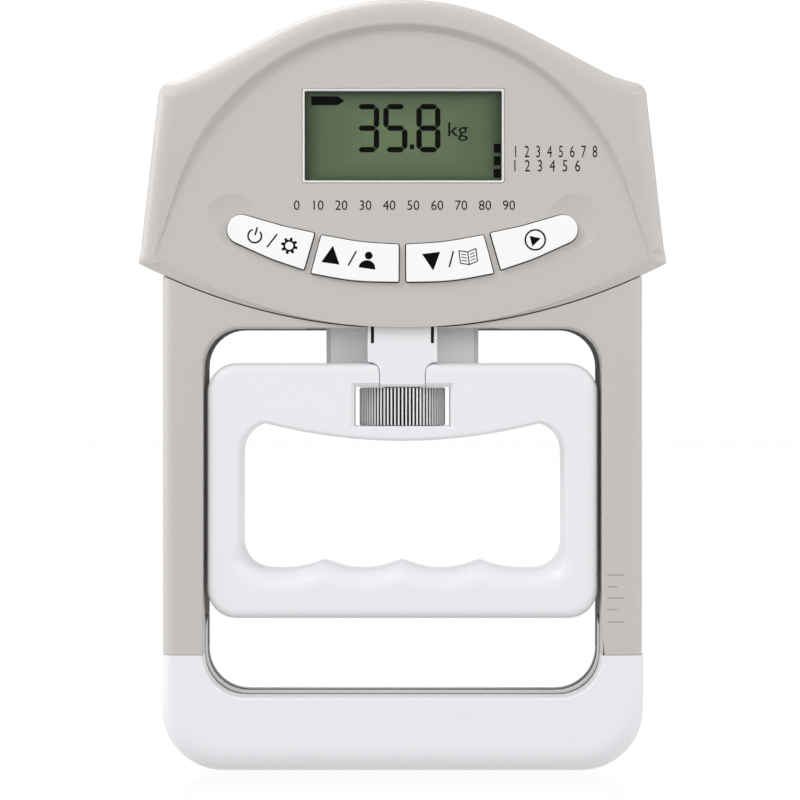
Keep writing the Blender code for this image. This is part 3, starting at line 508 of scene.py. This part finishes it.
def makeCover():
    centre = cover["centre"]
    faceLoop = filleted(faceCorners, 12, 2.5)
    holeLoop = filleted(rectangle(lcd["x"], lcd["z"], lcd["halfX"] + 0.66, lcd["halfZ"] + 0.66, 0.4), 3)
    angles = angleSet(centre, [headLoop, faceLoop, holeLoop], 0.02)
    faceY = frontY["face"]
    faceDepth = cover["lowDepth"] + (cover["rimDepth"] - cover["lowDepth"]) * ease(faceLoop[:, 1], 121.0, 168.0)
    headDepth = cover["lowDepth"] + (cover["rimDepth"] - cover["lowDepth"]) * ease(headLoop[:, 1], 118.0, 165.0)
    slope = 0.15 + 0.6 * faceDepth
    room = np.linalg.norm(onRays(row(headLoop, 0, 0), centre, angles)[:, [0, 2]] - centre, axis=1) - \
        np.linalg.norm(onRays(row(faceLoop, 0, 0), centre, angles)[:, [0, 2]] - centre, axis=1)
    outer = onRays(row(headLoop, 0, faceY - headDepth), centre, angles)
    inner = onRays(row(faceLoop, 0.3, faceY - faceDepth), centre, angles)
    # The flank is an ellipse arc as wide as the room between face and edge lets it be
    wide = np.minimum(1.0, np.maximum(0.02, (room - 0.5)) / cover["flank"])
    flankIn = onRays(row(headLoop, -cover["flank"], 0), centre, angles)
    start = outer + (flankIn - outer) * wide[:, None]
    start[:, 1] = outer[:, 1]
    blend = np.clip(room / 3.0, 0, 1)
    start[:, 1] = inner[:, 1] * (1 - blend) + start[:, 1] * blend
    # The crest stays outside the face's edge where the two outlines nearly meet
    reachStart = np.linalg.norm(start[:, [0, 2]] - centre, axis=1)
    reachInner = np.linalg.norm(inner[:, [0, 2]] - centre, axis=1)
    reachOuter = np.linalg.norm(outer[:, [0, 2]] - centre, axis=1)
    fixed = np.minimum(np.maximum(reachStart, reachInner + 0.02), reachOuter - 0.02)
    start[:, [0, 2]] = np.array(centre) + (start[:, [0, 2]] - centre) * (fixed / reachStart)[:, None]
    # Along the bottom arc the flank is a shallow straight bevel
    side = ease(outer[:, 2], 124.8, 130.0)
    drop = cover["lowDrop"] + (cover["flankDepth"] - cover["lowDrop"]) * side
    rows = [onRays(row(holeLoop, 0, faceY + cover["wall"]), centre, angles),
            onRays(row(holeLoop, 0, faceY + 0.2), centre, angles),
            onRays(row(holeLoop, 0.15, faceY), centre, angles),
            onRays(row(holeLoop, 0.6, faceY), centre, angles),
            onRays(row(faceLoop, -slope - 0.9, faceY), centre, angles),
            onRays(row(faceLoop, -slope - 0.25, faceY), centre, angles),
            onRays(row(faceLoop, -slope + 0.1, faceY - 0.12 * faceDepth), centre, angles),
            onRays(row(faceLoop, -0.12, faceY - 0.9 * faceDepth), centre, angles),
            inner]
    for a in np.linspace(0, math.pi / 2, 10):
        across, down = math.sin(a), 1 - math.cos(a)
        point = start + (outer - start) * across
        point[:, 1] = start[:, 1] + drop * (down * side + (1 - side) * across)
        rows.append(point)
    rows.append(onRays(row(headLoop, 0, frontY["coverBack"] - 0.2), centre, angles))
    rows.append(onRays(row(headLoop, -0.2, frontY["coverBack"]), centre, angles))
    rows.append(onRays(row(headLoop, -cover["side"], frontY["coverBack"]), centre, angles))
    rows.append(onRays(row(headLoop, -cover["side"], faceY + cover["wall"]), centre, angles))
    piece = finished("headCover", gridMesh("headCover", rows, closeRows=True), looks["warm_grey_plastic"])
    radius = (dimple["radius"] ** 2 + dimple["depth"] ** 2) / (2 * dimple["depth"])
    for side in (-1, 1):
        ball = sphere("dimple", side * dimple["x"], faceY + dimple["depth"] - radius, dimple["z"], radius)
        carve(piece, [ball], sharp=cover["sharp"])
    for corners in keys.values():
        loop = filleted(corners, 5)
        carve(piece, [slab("keyHole", loop + outward(loop) * 0.28, -20, -9)], sharp=cover["sharp"])
    carve(piece, [box("guideRoom", (-24, 24), (-8.8, 0), (105, 115))], sharp=cover["sharp"])
    stemRoom = box("stemRoom", (-9.0, 9.0), (faceY + cover["wall"] - 0.1, 0), (105, 114))
    carve(piece, [stemRoom], sharp=cover["sharp"])
    weigh(give(piece, "frame", "warm_grey_plastic", "head_cover"))
    print("cover done")


# Keys

def makeKeys():
    for name, corners in keys.items():
        key = slab("cap_" + name, filleted(corners, 6), -14.2, -9.4, looks["button_white"], 0.22, 3)
        give(key, name, "button_white", name)
        weigh(key)
    print("keys done")


# Display

def makeDisplay():
    x, z, halfX, halfZ = lcd["x"], lcd["z"], lcd["halfX"], lcd["halfZ"]
    inside = filleted(rectangle(x, z, halfX + 0.05, halfZ + 0.05, 0.3), 3)
    outside = filleted(rectangle(x, z, halfX + 0.6, halfZ + 0.6, 0.4), 3)
    centre = (x, z)
    angles = angleSet(centre, [inside, outside])
    # The frame takes the lighter copy of the grey plastic, as painted highlight
    bezel = ringPiece("displayFrame", [row(inside, 0, -11.4), row(inside, 0, -12.75), row(inside, 0.12, -12.95),
                                       row(outside, -0.12, -12.95), row(outside, 0, -12.8), row(outside, 0, -11.4)],
                      centre, angles, frameWhite)
    give(bezel, "frame", "warm_grey_plastic", "display_bezel")
    window = slab("displayLens", filleted(rectangle(x, z, halfX, halfZ, 0.3), 3), -12.6, -11.9, looks["display_window"])
    give(window, "frame", "display_window", "display_window")
    print("display done")


# Marks: flat ink shapes on the display, the face and the keys

def faceFront(mesh):
    work = bmesh.new()
    work.from_mesh(mesh)
    for face in work.faces:
        face.normal_update()
        if face.normal.y > 0:
            face.normal_flip()
    work.to_mesh(mesh)
    work.free()


def inkPiece(name, shapes, y, body, look=None, turn=0.0, about=(0.0, 0.0), slotName="black_rubber"):
    vertices, faces = [], []
    c, s = math.cos(turn), math.sin(turn)
    for shape in shapes:
        faces.append(list(range(len(vertices), len(vertices) + len(shape))))
        for px, pz in shape:
            vertices.append(((about[0] + c * px - s * pz) * mm, y * mm, (about[1] + s * px + c * pz) * mm))
    mesh = bpy.data.meshes.new(name)
    mesh.from_pydata(vertices, [], faces)
    faceFront(mesh)
    mesh.materials.append(look or inkBlack)
    obj = bpy.data.objects.new(name, mesh)
    bpy.context.scene.collection.objects.link(obj)
    return give(obj, body, slotName)


def stroke(points, width):
    # A line of even width as separate quads
    shapes = []
    for (ax, az), (bx, bz) in zip(points, points[1:]):
        length = math.hypot(bx - ax, bz - az)
        nx, nz = -(bz - az) / length * width / 2, (bx - ax) / length * width / 2
        shapes.append([(ax + nx, az + nz), (bx + nx, bz + nz), (bx - nx, bz - nz), (ax - nx, az - nz)])
    return shapes


def arc(x, z, radius, first, last, steps=20):
    return [(x + radius * math.cos(t), z + radius * math.sin(t)) for t in np.linspace(first, last, steps + 1)]


def digit(x, z, width, height, thick, lit):
    # Seven bars with mitred ends, in the order top, two upper sides, middle, two lower sides, bottom
    h, t, g = height / 2, thick, 0.1
    right, top, low = x + width, z + height, z

    def across(level):
        return [(x + g, level), (x + t / 2 + g, level + t / 2), (right - t / 2 - g, level + t / 2), (right - g, level),
                (right - t / 2 - g, level - t / 2), (x + t / 2 + g, level - t / 2)]

    def upright(side, start):
        return [(side, start + g), (side + t / 2, start + t / 2 + g), (side + t / 2, start + h - t / 2 - g),
                (side, start + h - g), (side - t / 2, start + h - t / 2 - g), (side - t / 2, start + t / 2 + g)]

    bars = [across(top), upright(x, z + h), upright(right, z + h), across(z + h), upright(x, z), upright(right, z),
            across(low)]
    return [bars[index] for index in lit]


def textPiece(name, body, x, z, y, capHeight, width, look=None, ride="frame"):
    curve = bpy.data.curves.new(name + "Text", "FONT")
    curve.body = body
    curve.size = 1.0
    curve.align_x = "CENTER"
    curve.resolution_u = 3
    holder = bpy.data.objects.new(name + "Text", curve)
    bpy.context.scene.collection.objects.link(holder)
    bpy.context.view_layer.update()
    graph = bpy.context.evaluated_depsgraph_get()
    mesh = bpy.data.meshes.new_from_object(holder.evaluated_get(graph))
    bpy.data.objects.remove(holder, do_unlink=True)
    mesh.name = name
    count = len(mesh.vertices)
    flat = np.empty(count * 3)
    mesh.vertices.foreach_get("co", flat)
    flat = flat.reshape(-1, 3)
    low, high = flat.min(0), flat.max(0)
    # Stretch to the printed size: x to the line's width, z to the capitals' height
    px = (flat[:, 0] - (low[0] + high[0]) / 2) * width / (high[0] - low[0]) + x
    pz = (flat[:, 1] - low[1]) * capHeight / (high[1] - low[1]) + z - capHeight / 2
    placed = np.stack([px, np.full(count, y), pz], 1) * mm
    mesh.vertices.foreach_set("co", placed.ravel())
    mesh.materials.clear()
    mesh.materials.append(look or inkBlack)
    obj = bpy.data.objects.new(name, mesh)
    bpy.context.scene.collection.objects.link(obj)
    faceFront(mesh)
    return give(obj, ride, "black_rubber")


marks = {"glassY": -10.53, "keyY": -14.22, "digitZ": 153.55, "digitWidth": 4.62, "digitHeight": 10.6, "digitBar": 1.32}


def makeMarks():
    glassY, keyInk = marks["glassY"], marks["keyY"]
    reading = []
    for x, lit in ((-11.0, (0, 2, 3, 5, 6)), (-4.05, (0, 1, 3, 5, 6)), (4.1, (0, 1, 2, 3, 4, 5, 6))):
        reading += digit(x, marks["digitZ"], marks["digitWidth"], marks["digitHeight"], marks["digitBar"], lit)
    reading.append([(1.85, 153.65), (2.9, 153.65), (2.9, 154.85), (1.85, 154.85)])
    inkPiece("readingDigits", reading, glassY, "frame")
    badge = [[(-22.5, 164.5), (-16.0, 164.5), (-14.3, 165.6), (-16.0, 166.7), (-22.5, 166.7)]]
    inkPiece("readingBadge", badge, glassY, "frame")
    bars = [[(22.5, z), (24.2, z), (24.2, z + 2.2), (22.5, z + 2.2)] for z in (146.6, 149.7, 152.8)]
    inkPiece("batteryBars", bars, glassY, "frame")
    textPiece("readingUnit", "kg", 13.7, 158.0, glassY, 4.6, 4.8)
    faceInk = frontY["face"] - 0.02
    textPiece("faceScale", "0   10   20   30   40   50   60   70   80   90", 0.5, 139.7, faceInk, 2.4, 54.4)
    textPiece("numbersUpper", "1  2  3  4  5  6  7  8", 37.8, 152.9, faceInk, 2.9, 20.2)
    textPiece("numbersLower", "1  2  3  4  5  6", 35.6, 149.4, faceInk, 2.9, 16.2)
    slash = stroke([(-0.75, -1.9), (0.75, 1.9)], 0.38)
    power = stroke(arc(-4.4, -0.1, 1.65, math.radians(125), math.radians(415), 28), 0.42) + \
        stroke([(-4.4, 0.1), (-4.4, 2.1)], 0.42)
    gear = stroke(arc(4.4, 0, 1.25, 0, 2 * math.pi, 28), 0.5)
    for k in range(8):
        t = math.pi * k / 4
        c, s = math.cos(t), math.sin(t)
        gear += stroke([(4.4 + 1.3 * c, 1.3 * s), (4.4 + 2.05 * c, 2.05 * s)], 0.65)
    inkPiece("markSet", power + slash + gear, keyInk, "button_set", turn=math.radians(-16.5), about=(-32.0, 130.9))
    person = [arc(3.9, 1.2, 0.95, 0, 2 * math.pi, 20)[:-1], arc(3.9, -2.0, 2.05, 0, math.pi, 20)]
    rise = [[(-7.4, -2.0), (-2.9, -2.0), (-5.15, 2.4)]]
    inkPiece("markUp", rise + slash + person, keyInk, "button_up", turn=math.radians(-8), about=(-12.3, 126.6))
    fall = [[(-7.0, 2.1), (-4.75, -2.3), (-2.5, 2.1)]]
    book = []
    for side in (-1, 1):
        page = [(4.2, 1.2), (4.2 + side * 2.1, 1.8), (4.2 + side * 2.1, -1.3), (4.2, -1.9), (4.2, 1.2)]
        book += stroke(page, 0.26)
        for level in (0.75, 0.0, -0.75):
            book += stroke([(4.2 + side * 0.45, level - 0.2), (4.2 + side * 1.7, level + 0.15)], 0.22)
    inkPiece("markDown", fall + slash + book, keyInk, "button_down", turn=math.radians(7), about=(12.0, 126.4))
    play = [[(-1.1, -1.35), (-1.1, 1.35), (1.4, 0.0)]]
    ring = stroke(arc(0, 0, 2.45, 0, 2 * math.pi, 36), 0.42)
    inkPiece("markStart", play + ring, keyInk, "button_start", turn=math.radians(16), about=(32.6, 131.1))
    print("marks done")


# Handle: two halves with a finger window, four finger hollows and the wheel's bay

grip = {"halfX": 48.2, "low": 37.9, "high": 100.9, "radius": 7.3, "front": -11.0, "back": 12.0, "edge": 2.3,
        "centre": (0.0, 66.0), "half": 40.0, "belly": 81.7, "rise": 3.9, "span": 32.0, "side": 7.4,
        "trough": 49.7, "pitch": 19.4, "scoop": 21.6}
bay = {"half": 11.85, "low": 85.35, "high": 95.08, "bevel": 0.9, "wellRadius": 3.4, "wellLow": 83.7}


def windowLoop():
    # Clockwise from the top left: bellied top z = belly + rise (x / span)^2, round sides, four scooped hollows
    points = []
    for x in np.linspace(-grip["span"], grip["span"], 25):
        points.append((x, grip["belly"] + grip["rise"] * (x / grip["span"]) ** 2))
    r = grip["side"]
    topZ, lowZ = grip["belly"] + grip["rise"] + 0.6 - r, grip["trough"] + r
    for t in np.linspace(math.radians(80), 0, 9):
        points.append((grip["half"] - r + r * math.cos(t), topZ + r * math.sin(t)))
    for t in np.linspace(0, -math.pi / 2, 10):
        points.append((grip["half"] - r + r * math.cos(t), lowZ + r * math.sin(t)))
    hollows = [grip["pitch"] * k for k in (1.5, 0.5, -0.5, -1.5)]
    half = grip["pitch"] / 2
    for index, middle in enumerate(hollows):
        first = 0.0 if index == 0 else half
        last = 0.0 if index == 3 else -half
        for step in np.linspace(first, last, 13 if first and last else 8):
            z = grip["trough"] + grip["scoop"] - math.sqrt(grip["scoop"] ** 2 - step * step)
            if points and math.hypot(points[-1][0] - middle - step, points[-1][1] - z) < 0.05:
                continue
            points.append((middle + step, z - 0.25 * max(0.0, abs(step) - half + 0.8)))
    for t in np.linspace(-math.pi / 2, -math.pi, 10):
        points.append((-grip["half"] + r + r * math.cos(t), lowZ + r * math.sin(t)))
    for t in np.linspace(math.pi, math.radians(100), 9):
        points.append((-grip["half"] + r + r * math.cos(t), topZ + r * math.sin(t)))
    return np.array(points)


def bayBevel():
    # Four-sided funnel round the wheel's bay
    b, face = bay["bevel"], grip["front"]
    midZ, halfZ = (bay["low"] + bay["high"]) / 2, (bay["high"] - bay["low"]) / 2
    loops = [(bay["half"] + b + 0.5, halfZ + b + 0.5, face - 0.5), (bay["half"] - 0.1, halfZ - 0.1, face + b + 0.1)]
    rows = [row(filleted(rectangle(0, midZ, hx, hz), longest=1e3), 0, y) for hx, hz, y in loops]
    return finished("bevel", gridMesh("bevel", rows, capped=True), None)


def rodWell():
    # Room under the wheel for the rod's end, when the handle stands at its highest
    turn = np.linspace(0, 2 * math.pi, 40, endpoint=False)
    radius = bay["wellRadius"]
    rows = [np.stack([radius * np.cos(turn), wheel["axisY"] + radius * np.sin(turn), np.full(len(turn), z)], 1)
            for z in (bay["wellLow"], bay["low"] + 0.5)]
    return finished("rodWell", gridMesh("rodWell", rows, capped=True), None)


def makeHandle():
    centre = grip["centre"]
    midZ, halfZ = (grip["high"] + grip["low"]) / 2, (grip["high"] - grip["low"]) / 2
    outer = filleted(rectangle(0, midZ, grip["halfX"], halfZ, grip["radius"]), 12)
    window = windowLoop()
    angles = angleSet(centre, [outer, window])
    low = ease(-window[:, 1], -57.0, -51.5)
    soft = 1.1 + 4.4 * low
    # Under the hollows the fillet runs straight down, so that it can't fold over at their crests
    straight = (low * (1 - ease(np.abs(window[:, 0]), 29.0, 36.0)))[:, None]
    away = outward(window) * (1 - straight) + np.array([0.0, -1.0]) * straight
    for name, face, split, node in (("handleFront", grip["front"], 0.35, "handle_front"),
                                    ("handleRear", grip["back"], 0.65, "handle_rear")):
        to = -1 if face < split else 1
        edge = grip["edge"]
        rows = [row(outer, 0, split)]
        rows += [row(outer, -edge * a, face - to * edge * b) for a, b in quarter(6)]
        rows.append(row(outer, -edge - 0.5, face))
        rows.append(row(window, soft + 0.5, face, away))
        rows += [row(window, soft * a, face - to * soft * b, away) for a, b in reversed(quarter(7))]
        rows.append(row(window, 0, split))
        piece = ringPiece(name, rows, centre, angles, looks["white_plastic"])
        carve(piece, [box("bay", (-bay["half"], bay["half"]), (-30, 30), (bay["low"], bay["high"]))])
        carve(piece, [rodWell()])
        if to < 0:
            carve(piece, [bayBevel()])
            above = grip["high"] + 0.03
            notchRight = [(30, above + 3, 0), (30, above, 0), (5.75, above, 2.3), (5.75, 93, 0)]
            notch = filleted([mirrored(notchRight)[-1], *notchRight, *mirrored(notchRight)[:-1]], 8)
            carve(piece, [slab("notch", notch, -30, -5.2)])
        else:
            carve(piece, [roundBar("well", x, z, 2.6, 8.3, 14) for x in (-40, 40) for z in (93.2, 43.6)])
        carve(piece, [box("plateSlot", (-19.3, 19.3), (-1.8, 4.8), (98, 110))])
        carve(piece, [box("neckSlot", (-7.3, 7.3), (-6.3, 6.5), (98.05, 110.05))])
        weigh(give(piece, "handle", "white_plastic", node))
    print("handle done")


slide = {"slotX": 7.4, "slotLow": 105.8, "front": -10.7, "back": 6.2}


def makeCarriage():
    plate = [(-19.0, 3.3), (-19.0, -0.3), (-17.8, -1.5), (17.8, -1.5),
             (19.0, -0.3), (19.0, 3.3), (17.8, 4.5), (-17.8, 4.5)]
    rows = [[(x, y, z) for x, y in plate] for z in (97.5, 114.0)]
    # The plate takes the lighter copy of the white plastic, as painted light
    piece = finished("guideSlide", gridMesh("guideSlide", rows, capped=True), plateLitWhite)
    carve(piece, [box("foot", (-22, 22), (-3.0, 5.6), (97.0, 98.0))], "UNION")
    give(piece, "handle", "white_plastic", "guide_carriage")
    corner = arc(8.1, 98.65, 2.45, math.pi / 2, math.pi, 8)
    right = [(8.6, 111.2), (8.6, 101.1), *corner, (5.65, 95.08)]
    stem = np.array([(-x, z) for x, z in reversed(right)][:-1] + [(-8.6, 111.2)] + right)
    stemPiece = slab("guideStem", stem, slide["front"], slide["back"], looks["white_plastic"])
    carve(stemPiece, [box("washerRoom", (-9, 9), (-8.0, 9), (90, 96.5))])
    carve(stemPiece, [bayBevel()])
    slots = [(side * slide["slotX"] - 0.38, side * slide["slotX"] + 0.38) for side in (-1, 1)]
    carve(stemPiece, [box("slot", across, (-12, -7), (slide["slotLow"], 113)) for across in slots])
    change = stemPiece.modifiers.new("edge", "BEVEL")
    change.width = 0.22 * mm
    change.segments = 2
    change.limit_method = "ANGLE"
    change.angle_limit = math.radians(50)
    weigh(give(stemPiece, "handle", "white_plastic"))
    # Near-black strips set in the slots as painted shadow
    for side, label in ((-1, "Left"), (1, "Right")):
        across = (side * slide["slotX"] - 0.36, side * slide["slotX"] + 0.36)
        strip = box("slotStrip" + label, across, (-9.9, -7.02), (slide["slotLow"] + 0.02, 111.1), slotBlack)
        give(strip, "handle", "black_rubber")
    print("slide done")


wheel = {"radius": 10.7, "bore": 4.95, "low": 85.5, "high": 94.9, "ribs": 72, "deep": 0.5, "axisY": 0.5}


def makeWheel():
    # Ribs: radius R - deep (1 - rib), with rib a flat-topped wave of the turn
    turn = np.linspace(0, 2 * math.pi, wheel["ribs"] * 6, endpoint=False)
    wave = np.clip(0.38 + 1.6 * np.cos(turn * wheel["ribs"]), 0, 1)
    ribbed = wheel["radius"] - wheel["deep"] * (1 - wave)
    plain = np.full(len(turn), 1.0)
    low, high = wheel["low"], wheel["high"]
    profile = [(plain * wheel["bore"], low), (plain * 10.3, low), (np.minimum(ribbed, 10.5), low + 0.08),
               (ribbed, low + 0.2), (ribbed, high - 0.2), (np.minimum(ribbed, 10.5), high - 0.08),
               (plain * 10.3, high), (plain * wheel["bore"], high)]
    rows = [np.stack([r * np.cos(turn), wheel["axisY"] + r * np.sin(turn), np.full(len(turn), z)], 1)
            for r, z in profile]
    mesh = gridMesh("wheelKnurled", rows, closeRows=True)
    # The rib share also colours the knurl: painted highlight on the rib tops, painted shade in the grooves; the plain
    # ends take the bright colour
    share = np.concatenate([wave if 1 < index < 6 else plain * 0.75 for index in range(len(profile))])
    layer = mesh.attributes.new("rib", "FLOAT", "POINT")
    layer.data.foreach_set("value", share.astype(np.float32))
    piece = finished("wheelKnurled", mesh, looks["chrome"], 25.0)
    give(piece, "wheel", "chrome", "adjust_wheel")
    print("wheel done")


# Back: battery door

def makeDoor():
    door = slab("batteryLid", filleted(rectangle(0, 152.5, 31.0, 15.5, 1.6), 6), 13.0, 15.0,
                looks["warm_grey_plastic"], backEdge=0.4)
    carve(door, [box("ridge", (-6.0, 6.0), (14.5, 17), (160.5 + 1.4 * k, 161.2 + 1.4 * k)) for k in range(4)])
    weigh(give(door, "battery_door", "warm_grey_plastic", "battery_door"))
    print("door done")


# Liner of the opening, with ends cut on the slant

def makeLiner():
    angles = angleSet((0.0, 64.0), [openingLoop])
    liner = ringPiece("openingLiner", [row(openingLoop, 0.15, 0.8), row(openingLoop, 0.15, 8.6),
                                       row(openingLoop, 0.8, 8.6), row(openingLoop, 0.8, 0.8)],
                      (0.0, 64.0), angles, looks["liner_grey"])
    points = [(-80, 36.2), (80, 36.2), (80, -5), (-80, -5)]
    rows = [[(x, y, z + (0 if z < 0 else rise)) for x, z in points] for y, rise in ((-20, -2.6), (30, 2.2))]
    carve(liner, [finished("linerTrim", gridMesh("linerTrim", rows, capped=True), None)], "INTERSECT")
    give(liner, "frame", "liner_grey", "opening_liner")
    baseRows = [row(openingLoop, grow, y) for grow, y in ((0.3, -3.6), (0.3, 13.2), (0.9, 13.2), (0.9, -3.6))]
    base = ringPiece("linerBase", baseRows, (0.0, 64.0), angles, looks["black_rubber"])
    carve(base, [box("linerTrim", (-80, 80), (-30, 30), (0, 37.0))], "INTERSECT")
    give(base, "frame", "black_steel")
    print("liner done")


def paintNodes():
    slots = {}
    for entry in frame["record"]["materials"]:
        for node in entry.get("nodes", []):
            slots[node] = entry["slot"]
    for name, obj in nodes.items():
        base = obj.data.materials[0].name if obj.data.materials else ""
        key = slots.get(name) or base.split(".")[0]
        if key in looks:
            for index in range(len(obj.material_slots)):
                obj.material_slots[index].material = looks[key]
        else:
            print("no look for", name, key)


# Stage: pale floor, white surroundings, soft boxes

stage = {"glow": 0.79, "gloss": 0.28, "bounce": 0.70, "skyBase": 0.16, "skyFront": 0.72, "skyUp": 0.22,
         "skyGlossy": 0.80, "skyCamera": 1.03, "lens": 134.0, "eye": (-0.0006, -0.745, 0.0918)}


def makeStage():
    floorMesh = bpy.data.meshes.new("stageFloor")
    floorMesh.from_pydata([(-4, -2, 0), (4, -2, 0), (4, 6, 0), (-4, 6, 0)], [], [(0, 1, 2, 3)])
    floor = bpy.data.objects.new("stageFloor", floorMesh)
    floor.location.z = -0.0003
    bpy.context.scene.collection.objects.link(floor)
    made = bpy.data.materials.new("paleFloor")
    made.use_nodes = True
    tree = made.node_tree
    tree.nodes.clear()
    out = tree.nodes.new("ShaderNodeOutputMaterial")
    glow = tree.nodes.new("ShaderNodeEmission")
    glow.inputs["Strength"].default_value = stage["glow"]
    gloss = tree.nodes.new("ShaderNodeBsdfGlossy")
    gloss.inputs["Color"].default_value = (*[stage["gloss"]] * 3, 1)
    gloss.inputs["Roughness"].default_value = 0.1
    both = tree.nodes.new("ShaderNodeAddShader")
    tree.links.new(glow.outputs[0], both.inputs[0])
    tree.links.new(gloss.outputs[0], both.inputs[1])
    dim = tree.nodes.new("ShaderNodeEmission")
    dim.inputs["Strength"].default_value = stage["bounce"]
    path = tree.nodes.new("ShaderNodeLightPath")
    mix = tree.nodes.new("ShaderNodeMixShader")
    tree.links.new(path.outputs["Is Diffuse Ray"], mix.inputs["Fac"])
    tree.links.new(both.outputs[0], mix.inputs[1])
    tree.links.new(dim.outputs[0], mix.inputs[2])
    tree.links.new(mix.outputs[0], out.inputs["Surface"])
    floorMesh.materials.append(made)
    world = bpy.data.worlds.new("pale")
    bpy.context.scene.world = world
    world.use_nodes = True
    tree = world.node_tree
    # Diffuse light is a base, plus a share that grows towards the front and one that grows upwards
    place = tree.nodes.new("ShaderNodeTexCoord")
    apart = tree.nodes.new("ShaderNodeSeparateXYZ")
    tree.links.new(place.outputs["Generated"], apart.inputs["Vector"])
    total = None
    for socket, low, high, amount in (("Y", 0.3, -1.0, stage["skyFront"]), ("Z", -0.2, 1.0, stage["skyUp"])):
        ranged = tree.nodes.new("ShaderNodeMapRange")
        ranged.inputs["From Min"].default_value = low
        ranged.inputs["From Max"].default_value = high
        ranged.inputs["To Min"].default_value = 0.0
        ranged.inputs["To Max"].default_value = amount
        tree.links.new(apart.outputs[socket], ranged.inputs["Value"])
        added = tree.nodes.new("ShaderNodeMath")
        added.operation = "ADD"
        added.inputs[1].default_value = stage["skyBase"]
        tree.links.new(ranged.outputs["Result"], added.inputs[0])
        if total:
            tree.links.new(total, added.inputs[1])
        total = added.outputs[0]
    backdrop = tree.nodes["Background"]
    tree.links.new(total, backdrop.inputs["Strength"])
    backdrop.inputs["Color"].default_value = (1, 1, 1, 1)
    path = tree.nodes.new("ShaderNodeLightPath")
    shade = backdrop.outputs[0]
    for ray, strength in (("Is Glossy Ray", stage["skyGlossy"]), ("Is Camera Ray", stage["skyCamera"])):
        sky = tree.nodes.new("ShaderNodeBackground")
        sky.inputs["Color"].default_value = (1, 1, 1, 1)
        sky.inputs["Strength"].default_value = strength
        mix = tree.nodes.new("ShaderNodeMixShader")
        tree.links.new(path.outputs[ray], mix.inputs["Fac"])
        tree.links.new(shade, mix.inputs[1])
        tree.links.new(sky.outputs[0], mix.inputs[2])
        shade = mix.outputs[0]
    tree.links.new(shade, tree.nodes["World Output"].inputs["Surface"])
    lamps = [("keyLamp", (-0.6, -0.7, 0.85), 0.5, 3.6), ("fillLamp", (0.75, -0.75, 0.45), 0.5, 1.8),
             ("topLamp", (-0.25, 0.25, 0.95), 0.5, 3.8), ("leftLamp", (-0.9, 0.05, 0.3), 0.5, 3.2),
             ("rightLamp", (0.9, 0.05, 0.3), 0.5, 1.6)]
    for name, place, size, power in lamps:
        light = bpy.data.lights.new(name, "AREA")
        light.shape = "SQUARE"
        light.size = size
        light.energy = power
        lamp = bpy.data.objects.new(name, light)
        lamp.location = place
        aim = Vector((0, 0, 0.1)) - Vector(place)
        lamp.rotation_euler = aim.to_track_quat("-Z", "Y").to_euler()
        bpy.context.scene.collection.objects.link(lamp)
    eye = bpy.data.cameras.new("eye")
    eye.lens, eye.sensor_width = stage["lens"], 36.0
    camera = bpy.data.objects.new("eye", eye)
    camera.location = stage["eye"]
    camera.rotation_euler = (math.pi / 2, 0, 0)
    bpy.context.scene.collection.objects.link(camera)
    bpy.context.scene.camera = camera
    bpy.context.scene.view_settings.view_transform = "Standard"


makeStage()
paintNodes()
makeShells()
makeCover()
makeKeys()
makeDisplay()
makeMarks()
makeHandle()
makeCarriage()
makeWheel()
makeDoor()
makeLiner()
